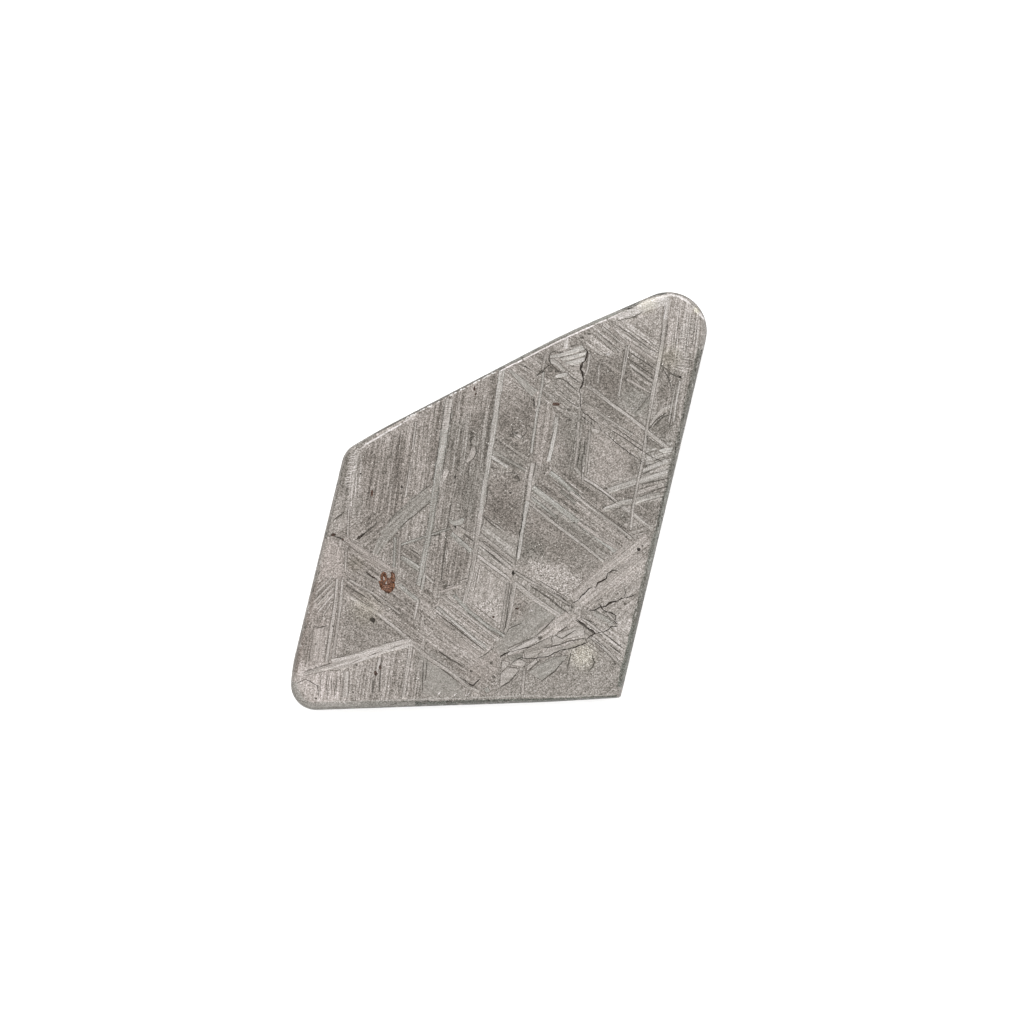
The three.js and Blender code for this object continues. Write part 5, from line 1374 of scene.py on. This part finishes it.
class Nodes:
    """Short hand for building a tree of nodes."""

    def __init__(self, tree):
        self.tree = tree
        self.tree.nodes.clear()

    def add(self, kind, inputs=None, **options):
        node = self.tree.nodes.new(kind)
        for name, value in options.items():
            setattr(node, name, value)
        for key, value in (inputs or {}).items():
            target = node.inputs[key]
            if isinstance(value, bpy.types.NodeSocket):
                self.tree.links.new(value, target)
            else:
                target.default_value = value
        return node

    def math(self, operation, *values):
        return self.add("ShaderNodeMath", dict(enumerate(values)), operation=operation).outputs[0]

    def stretch(self, vector, factors):
        return self.add("ShaderNodeVectorMath", {0: vector, 1: factors}, operation="MULTIPLY").outputs[0]

    def read(self, name):
        return self.add("ShaderNodeAttribute", attribute_name=name).outputs["Fac"]

    def noise(self, vector, scale, detail, roughness):
        inputs = {"Vector": vector, "Scale": scale, "Detail": detail, "Roughness": roughness}
        return self.add("ShaderNodeTexNoise", inputs).outputs[0]


def etched_metal(settings):
    """Etched iron: shade and streaks come from the mesh, grain and mottling from noise."""
    material = bpy.data.materials.new("etched_iron")
    material.use_nodes = True
    nodes = Nodes(material.node_tree)
    place = nodes.add("ShaderNodeTexCoord").outputs["Object"]
    in_mm = nodes.stretch(place, (1 / MM, 1 / MM, 1 / MM))
    turn = nodes.math("MULTIPLY", nodes.read("angle"), math.radians(-1))
    turned = nodes.add("ShaderNodeVectorRotate", {"Vector": in_mm, "Angle": turn}, rotation_type="Z_AXIS")
    along = nodes.noise(nodes.stretch(turned.outputs[0], STREAK_STRETCH), 1.0, 2.0, 0.6)
    streaks = nodes.add("ShaderNodeMapRange", {"Value": along, "From Min": 0.4, "From Max": 0.6}).outputs[0]
    grain = nodes.noise(in_mm, settings.grain_scale, 1.0, 0.6)
    flecks = nodes.noise(in_mm, settings.grain_scale * 0.5, 2.0, 0.6)
    mottling = nodes.noise(in_mm, MOTTLING_SCALE, 3.0, 0.55)

    rest = MIDDLE_TONE * (1 - settings.contrast)
    tone = nodes.math("MULTIPLY_ADD", nodes.read("tone"), settings.contrast, rest)
    graininess = nodes.math("MULTIPLY", nodes.read("grain"), settings.grain)
    for noise, amount in ((grain, graininess), (flecks, settings.flecks), (mottling, settings.mottling)):
        tone = nodes.math("MULTIPLY_ADD", nodes.math("SUBTRACT", noise, 0.5), amount, tone)
    streak = nodes.math("MULTIPLY", nodes.read("streak"), settings.streaks)
    tone = nodes.math("MULTIPLY_ADD", nodes.math("SUBTRACT", streaks, 0.5), streak, tone)
    saw_marks = nodes.noise(nodes.stretch(in_mm, SAW_STRETCH), 1.0, 3.0, 0.6)
    sawn = nodes.math("MULTIPLY", nodes.math("SUBTRACT", saw_marks, 0.5), nodes.read("sawn"))
    tone = nodes.math("MULTIPLY_ADD", sawn, SAW_STRENGTH, tone)
    off_middle = nodes.math("SUBTRACT", flecks, 0.5)
    warmth = nodes.math("MULTIPLY_ADD", off_middle, FLECK_WARMTH, nodes.read("warmth"))
    across = nodes.add("ShaderNodeSeparateXYZ", {0: in_mm}).outputs["X"]
    red_share = nodes.math("MULTIPLY_ADD", across, RED_ACROSS, RED)
    red_share = nodes.math("MULTIPLY_ADD", warmth, RED_BY_WARMTH, red_share)
    red_share = nodes.math("MULTIPLY_ADD", tone, RED_BY_TONE, red_share)
    yellow = 0.0
    for x, y, radius, strength in YELLOW_TINTS:
        away = nodes.add(
            "ShaderNodeVectorMath", {0: in_mm, 1: (x, y, THICKNESS)}, operation="DISTANCE").outputs["Value"]
        cover = nodes.add("ShaderNodeMapRange", {"Value": away, "From Min": radius, "From Max": radius / 3})
        yellow = nodes.math("MULTIPLY_ADD", cover.outputs[0], strength, yellow)
    blue_share = nodes.math("MULTIPLY_ADD", tone, BLUE_BY_TONE, BLUE)
    blue_share = nodes.math("MULTIPLY_ADD", yellow, BLUE_BY_YELLOW, blue_share)
    blue_share = nodes.math("MULTIPLY_ADD", nodes.math("POWER", warmth, 2.0), BLUE_BY_WARMTH, blue_share)
    red = nodes.math("MULTIPLY", tone, red_share)
    blue = nodes.math("MULTIPLY", tone, blue_share)
    colour = nodes.add("ShaderNodeCombineColor", {"Red": red, "Green": tone, "Blue": blue}).outputs[0]
    linear = nodes.add("ShaderNodeGamma", {"Color": colour, "Gamma": DISPLAY_GAMMA}).outputs[0]
    light = nodes.add(
        "ShaderNodeVectorMath", {0: linear, "Scale": settings.lightness}, operation="SCALE").outputs[0]
    streak_height = nodes.math("MULTIPLY_ADD", streaks, STREAK_HEIGHT, grain)
    height = nodes.math("MULTIPLY_ADD", sawn, SAW_HEIGHT, streak_height)
    bump = nodes.add(
        "ShaderNodeBump", {"Height": height, "Strength": BUMP_STRENGTH, "Distance": BUMP_DISTANCE})
    shader = nodes.add("ShaderNodeBsdfPrincipled", {
        "Base Color": light,
        "Metallic": 0.75,
        "Roughness": 0.5,
        "Normal": bump.outputs[0],
    })
    nodes.add("ShaderNodeOutputMaterial", {"Surface": shader.outputs[0]})
    return material


def flake_metal():
    """Bright unetched grains."""
    material = bpy.data.materials.new("bright_flake")
    material.use_nodes = True
    nodes = Nodes(material.node_tree)
    shader = nodes.add("ShaderNodeBsdfPrincipled", {
        "Base Color": (0.47, 0.45, 0.42, 1.0),
        "Metallic": 0.8,
        "Roughness": 0.35,
    })
    nodes.add("ShaderNodeOutputMaterial", {"Surface": shader.outputs[0]})
    return material


def speck_tree(material):
    """Scatters small flat grains over the upward side of a mesh, most where its grain is coarse."""
    tree = bpy.data.node_groups.new("bright_specks", "GeometryNodeTree")
    tree.interface.new_socket("Geometry", in_out="OUTPUT", socket_type="NodeSocketGeometry")
    tree.interface.new_socket("Geometry", in_out="INPUT", socket_type="NodeSocketGeometry")
    for name, kind in (("Density", "Float"), ("Size", "Float"), ("Seed", "Int"), ("Lowest", "Float")):
        tree.interface.new_socket(name, in_out="INPUT", socket_type="NodeSocket" + kind)
    nodes = Nodes(tree)
    given = nodes.add("NodeGroupInput").outputs
    coarse = nodes.add("GeometryNodeInputNamedAttribute", {"Name": "grain"}, data_type="FLOAT").outputs[0]
    excess = nodes.math("MAXIMUM", nodes.math("SUBTRACT", coarse, 0.97), 0.0)
    height = nodes.add(
        "ShaderNodeSeparateXYZ", {0: nodes.add("GeometryNodeInputPosition").outputs[0]}).outputs["Z"]
    upper = nodes.math("GREATER_THAN", height, given["Lowest"])
    density = nodes.math("MULTIPLY", nodes.math("MULTIPLY", excess, given["Density"]), upper)
    points = nodes.add("GeometryNodeDistributePointsOnFaces", {
        "Mesh": given["Geometry"], "Density": density, "Seed": given["Seed"]}).outputs["Points"]
    flake = nodes.add("GeometryNodeMeshIcoSphere", {"Radius": 1.0, "Subdivisions": 1}).outputs[0]
    turn = nodes.add("FunctionNodeRandomValue", {
        "Min": (0.0, 0.0, 0.0), "Max": (0.3, 0.3, math.tau), "Seed": given["Seed"],
    }, data_type="FLOAT_VECTOR").outputs[0]
    size = nodes.add("FunctionNodeRandomValue", {
        "Min": (0.4, 0.4, 0.3), "Max": (1.3, 1.0, 0.4), "Seed": given["Seed"],
    }, data_type="FLOAT_VECTOR").outputs[0]
    scale = nodes.add("ShaderNodeVectorMath", {0: size, "Scale": given["Size"]}, operation="SCALE").outputs[0]
    placed = nodes.add("GeometryNodeInstanceOnPoints", {
        "Points": points, "Instance": flake, "Rotation": turn, "Scale": scale}).outputs[0]
    real = nodes.add("GeometryNodeRealizeInstances", {0: placed}).outputs[0]
    covered = nodes.add("GeometryNodeSetMaterial", {"Geometry": real, "Material": material}).outputs[0]
    nodes.add("NodeGroupOutput", {0: covered})
    return tree


def scatter_specks(mesh, settings):
    """Runs the speck tree on a copy of the mesh and returns the grains as a plain mesh."""
    tree = speck_tree(flake_metal())
    carrier = bpy.data.objects.new("speck_carrier", mesh.copy())
    bpy.context.scene.collection.objects.link(carrier)
    modifier = carrier.modifiers.new("specks", "NODES")
    modifier.node_group = tree
    values = {
        "Density": settings.density, "Size": settings.size, "Seed": settings.seed,
        "Lowest": THICKNESS * MM * 0.9,
    }
    for item in tree.interface.items_tree:
        if item.in_out == "INPUT" and item.name in values:
            modifier[item.identifier] = values[item.name]
    evaluated = carrier.evaluated_get(bpy.context.evaluated_depsgraph_get())
    result = bpy.data.meshes.new_from_object(evaluated)
    copied = carrier.data
    bpy.data.objects.remove(carrier)
    bpy.data.meshes.remove(copied)
    return result


def link_object(name, mesh, material):
    if material:
        mesh.materials.append(material)
    piece = bpy.data.objects.new(name, mesh)
    bpy.context.scene.collection.objects.link(piece)
    return piece


class SliceSettings(bpy.types.PropertyGroup):
    """Sizes of the slice and the look of its metal."""
    seed: IntProperty(name="Seed", description="Seed of all unevenness", default=7)
    upright_depth: FloatProperty(
        name="Upright plates", description="Etched depth of the upright plates",
        default=0.00004, unit="LENGTH")
    falling_depth: FloatProperty(
        name="Falling plates", description="Etched depth of the falling plates",
        default=0.00004, unit="LENGTH")
    rising_depth: FloatProperty(
        name="Rising plates", description="Etched depth of the rising plates",
        default=0.00002, unit="LENGTH")
    shallow_depth: FloatProperty(
        name="Shallow plates", description="Etched depth of the shallow plates",
        default=0.00004, unit="LENGTH")
    chamfer_drop: FloatProperty(
        name="Chamfer", description="How far the chamfer falls at the rim", default=0.00045, unit="LENGTH")
    contrast: FloatProperty(name="Contrast", description="Contrast between the metal's parts", default=0.88)
    grain: FloatProperty(name="Grain", description="Strength of the finest grain", default=0.8)
    grain_scale: FloatProperty(name="Grain size", description="Grains to the millimetre", default=15.0)
    flecks: FloatProperty(name="Flecks", description="Strength of the flecks", default=0.2)
    mottling: FloatProperty(name="Mottling", description="Strength of the wide mottling", default=0.05)
    streaks: FloatProperty(
        name="Streaks", description="Strength of the streaks along the plates", default=0.22)
    lightness: FloatProperty(
        name="Lightness", description="Share of the light that the metal returns", default=0.5)


class SpeckSettings(bpy.types.PropertyGroup):
    """The bright grains on the face."""
    seed: IntProperty(name="Seed", description="Seed of the scatter", default=3)
    density: FloatProperty(
        name="Density", description="Grains to the square metre of coarse face", default=2.5e7)
    size: FloatProperty(name="Size", description="Half a grain's width", default=0.00004, unit="LENGTH")


class StageSettings(bpy.types.PropertyGroup):
    """The floor, the light and the camera."""
    frame_width: FloatProperty(
        name="Width in view", description="Width of the picture at the face", default=0.064, unit="LENGTH")
    camera_height: FloatProperty(
        name="Camera height", description="Height of the camera over the face", default=0.6, unit="LENGTH")
    aim: FloatVectorProperty(
        name="Aim", description="Point of the face in the picture's middle", size=2,
        default=(0.000764, -0.000644), unit="LENGTH", subtype="XYZ")
    floor_size: FloatProperty(name="Floor", description="Side of the floor", default=2.0, unit="LENGTH")
    sky: FloatProperty(name="Sky", description="Strength of the even light", default=1.7)
    lamp: FloatProperty(name="Lamp", description="Power of the soft lamp", default=3.0, unit="POWER")


class METEORITE_OT_build_slice(bpy.types.Operator):
    """Build the etched slice as one closed mesh"""
    bl_idname = "meteorite.build_slice"
    bl_label = "Build the slice"

    def execute(self, context):
        settings = context.scene.meteorite_slice
        mesh = build_slice_mesh(settings)
        mesh.shade_smooth()
        mesh.set_sharp_from_angle(angle=math.radians(30))
        piece = link_object("meteorite_slice", mesh, etched_metal(settings))
        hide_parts(NODE)
        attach(piece, "root")
        return {"FINISHED"}


class METEORITE_OT_build_specks(bpy.types.Operator):
    """Scatter the bright grains over the etched face"""
    bl_idname = "meteorite.build_specks"
    bl_label = "Scatter the bright grains"

    def execute(self, context):
        slice_piece = bpy.data.objects.get("meteorite_slice")
        if slice_piece is None:
            raise RuntimeError("build the slice first")
        mesh = scatter_specks(slice_piece.data, context.scene.meteorite_specks)
        if not mesh.polygons:
            raise RuntimeError("no grains were scattered")
        piece = link_object("bright_specks", mesh, None)
        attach(piece, "root")
        return {"FINISHED"}


class METEORITE_OT_build_stage(bpy.types.Operator):
    """Build the floor, the light and the camera"""
    bl_idname = "meteorite.build_stage"
    bl_label = "Build the stage"

    def execute(self, context):
        settings = context.scene.meteorite_stage
        add_floor(settings)
        add_light(context.scene, settings)
        add_camera(context.scene, settings)
        return {"FINISHED"}


def add_floor(settings):
    half = settings.floor_size / 2
    mesh = bpy.data.meshes.new("floor")
    corners = [(-half, -half, 0), (half, -half, 0), (half, half, 0), (-half, half, 0)]
    mesh.from_pydata(corners, [], [(0, 1, 2, 3)])
    material = bpy.data.materials.new("pale_floor")
    material.use_nodes = True
    nodes = Nodes(material.node_tree)
    shader = nodes.add("ShaderNodeBsdfDiffuse", {"Color": (0.95, 0.95, 0.95, 1.0)})
    nodes.add("ShaderNodeOutputMaterial", {"Surface": shader.outputs[0]})
    link_object("floor", mesh, material)


def add_light(scene, settings):
    world = bpy.data.worlds.new("soft_sky")
    world.use_nodes = True
    nodes = Nodes(world.node_tree)
    sky = nodes.add("ShaderNodeBackground", {"Color": (1.0, 1.0, 1.0, 1.0), "Strength": settings.sky})
    nodes.add("ShaderNodeOutputWorld", {"Surface": sky.outputs[0]})
    scene.world = world
    lamp = bpy.data.lights.new("soft_lamp", "AREA")
    lamp.energy = settings.lamp
    lamp.size = 0.5
    holder = bpy.data.objects.new("soft_lamp", lamp)
    holder.location = (-0.05, 0.45, 0.5)
    holder.rotation_euler = (Vector((0, 0, 0)) - holder.location).to_track_quat("-Z", "Y").to_euler()
    scene.collection.objects.link(holder)
    scene.view_settings.view_transform = "Standard"


def add_camera(scene, settings):
    camera = bpy.data.cameras.new("camera")
    camera.sensor_width = 36.0
    camera.lens = camera.sensor_width * settings.camera_height / settings.frame_width
    camera.clip_start = 0.01
    camera.dof.use_dof = False
    holder = bpy.data.objects.new("camera", camera)
    holder.location = (settings.aim[0], settings.aim[1], THICKNESS * MM + settings.camera_height)
    scene.collection.objects.link(holder)
    scene.camera = holder


class METEORITE_PT_panel(bpy.types.Panel):
    """Buttons that build the slice and its stage"""
    bl_label = "Meteorite slice"
    bl_space_type = "VIEW_3D"
    bl_region_type = "UI"
    bl_category = "Meteorite"

    def draw(self, context):
        for operator in OPERATORS:
            self.layout.operator(operator.bl_idname)


OPERATORS = (METEORITE_OT_build_slice, METEORITE_OT_build_specks, METEORITE_OT_build_stage)
CLASSES = (SliceSettings, SpeckSettings, StageSettings, *OPERATORS, METEORITE_PT_panel)


def register():
    for each in CLASSES:
        bpy.utils.register_class(each)
    bpy.types.Scene.meteorite_slice = PointerProperty(type=SliceSettings)
    bpy.types.Scene.meteorite_specks = PointerProperty(type=SpeckSettings)
    bpy.types.Scene.meteorite_stage = PointerProperty(type=StageSettings)


def unregister():
    del bpy.types.Scene.meteorite_stage
    del bpy.types.Scene.meteorite_specks
    del bpy.types.Scene.meteorite_slice
    for each in reversed(CLASSES):
        bpy.utils.unregister_class(each)


def main():
    register()
    bpy.ops.meteorite.build_slice()
    bpy.ops.meteorite.build_specks()
    bpy.ops.meteorite.build_stage()


if __name__ == "__main__":
    main()
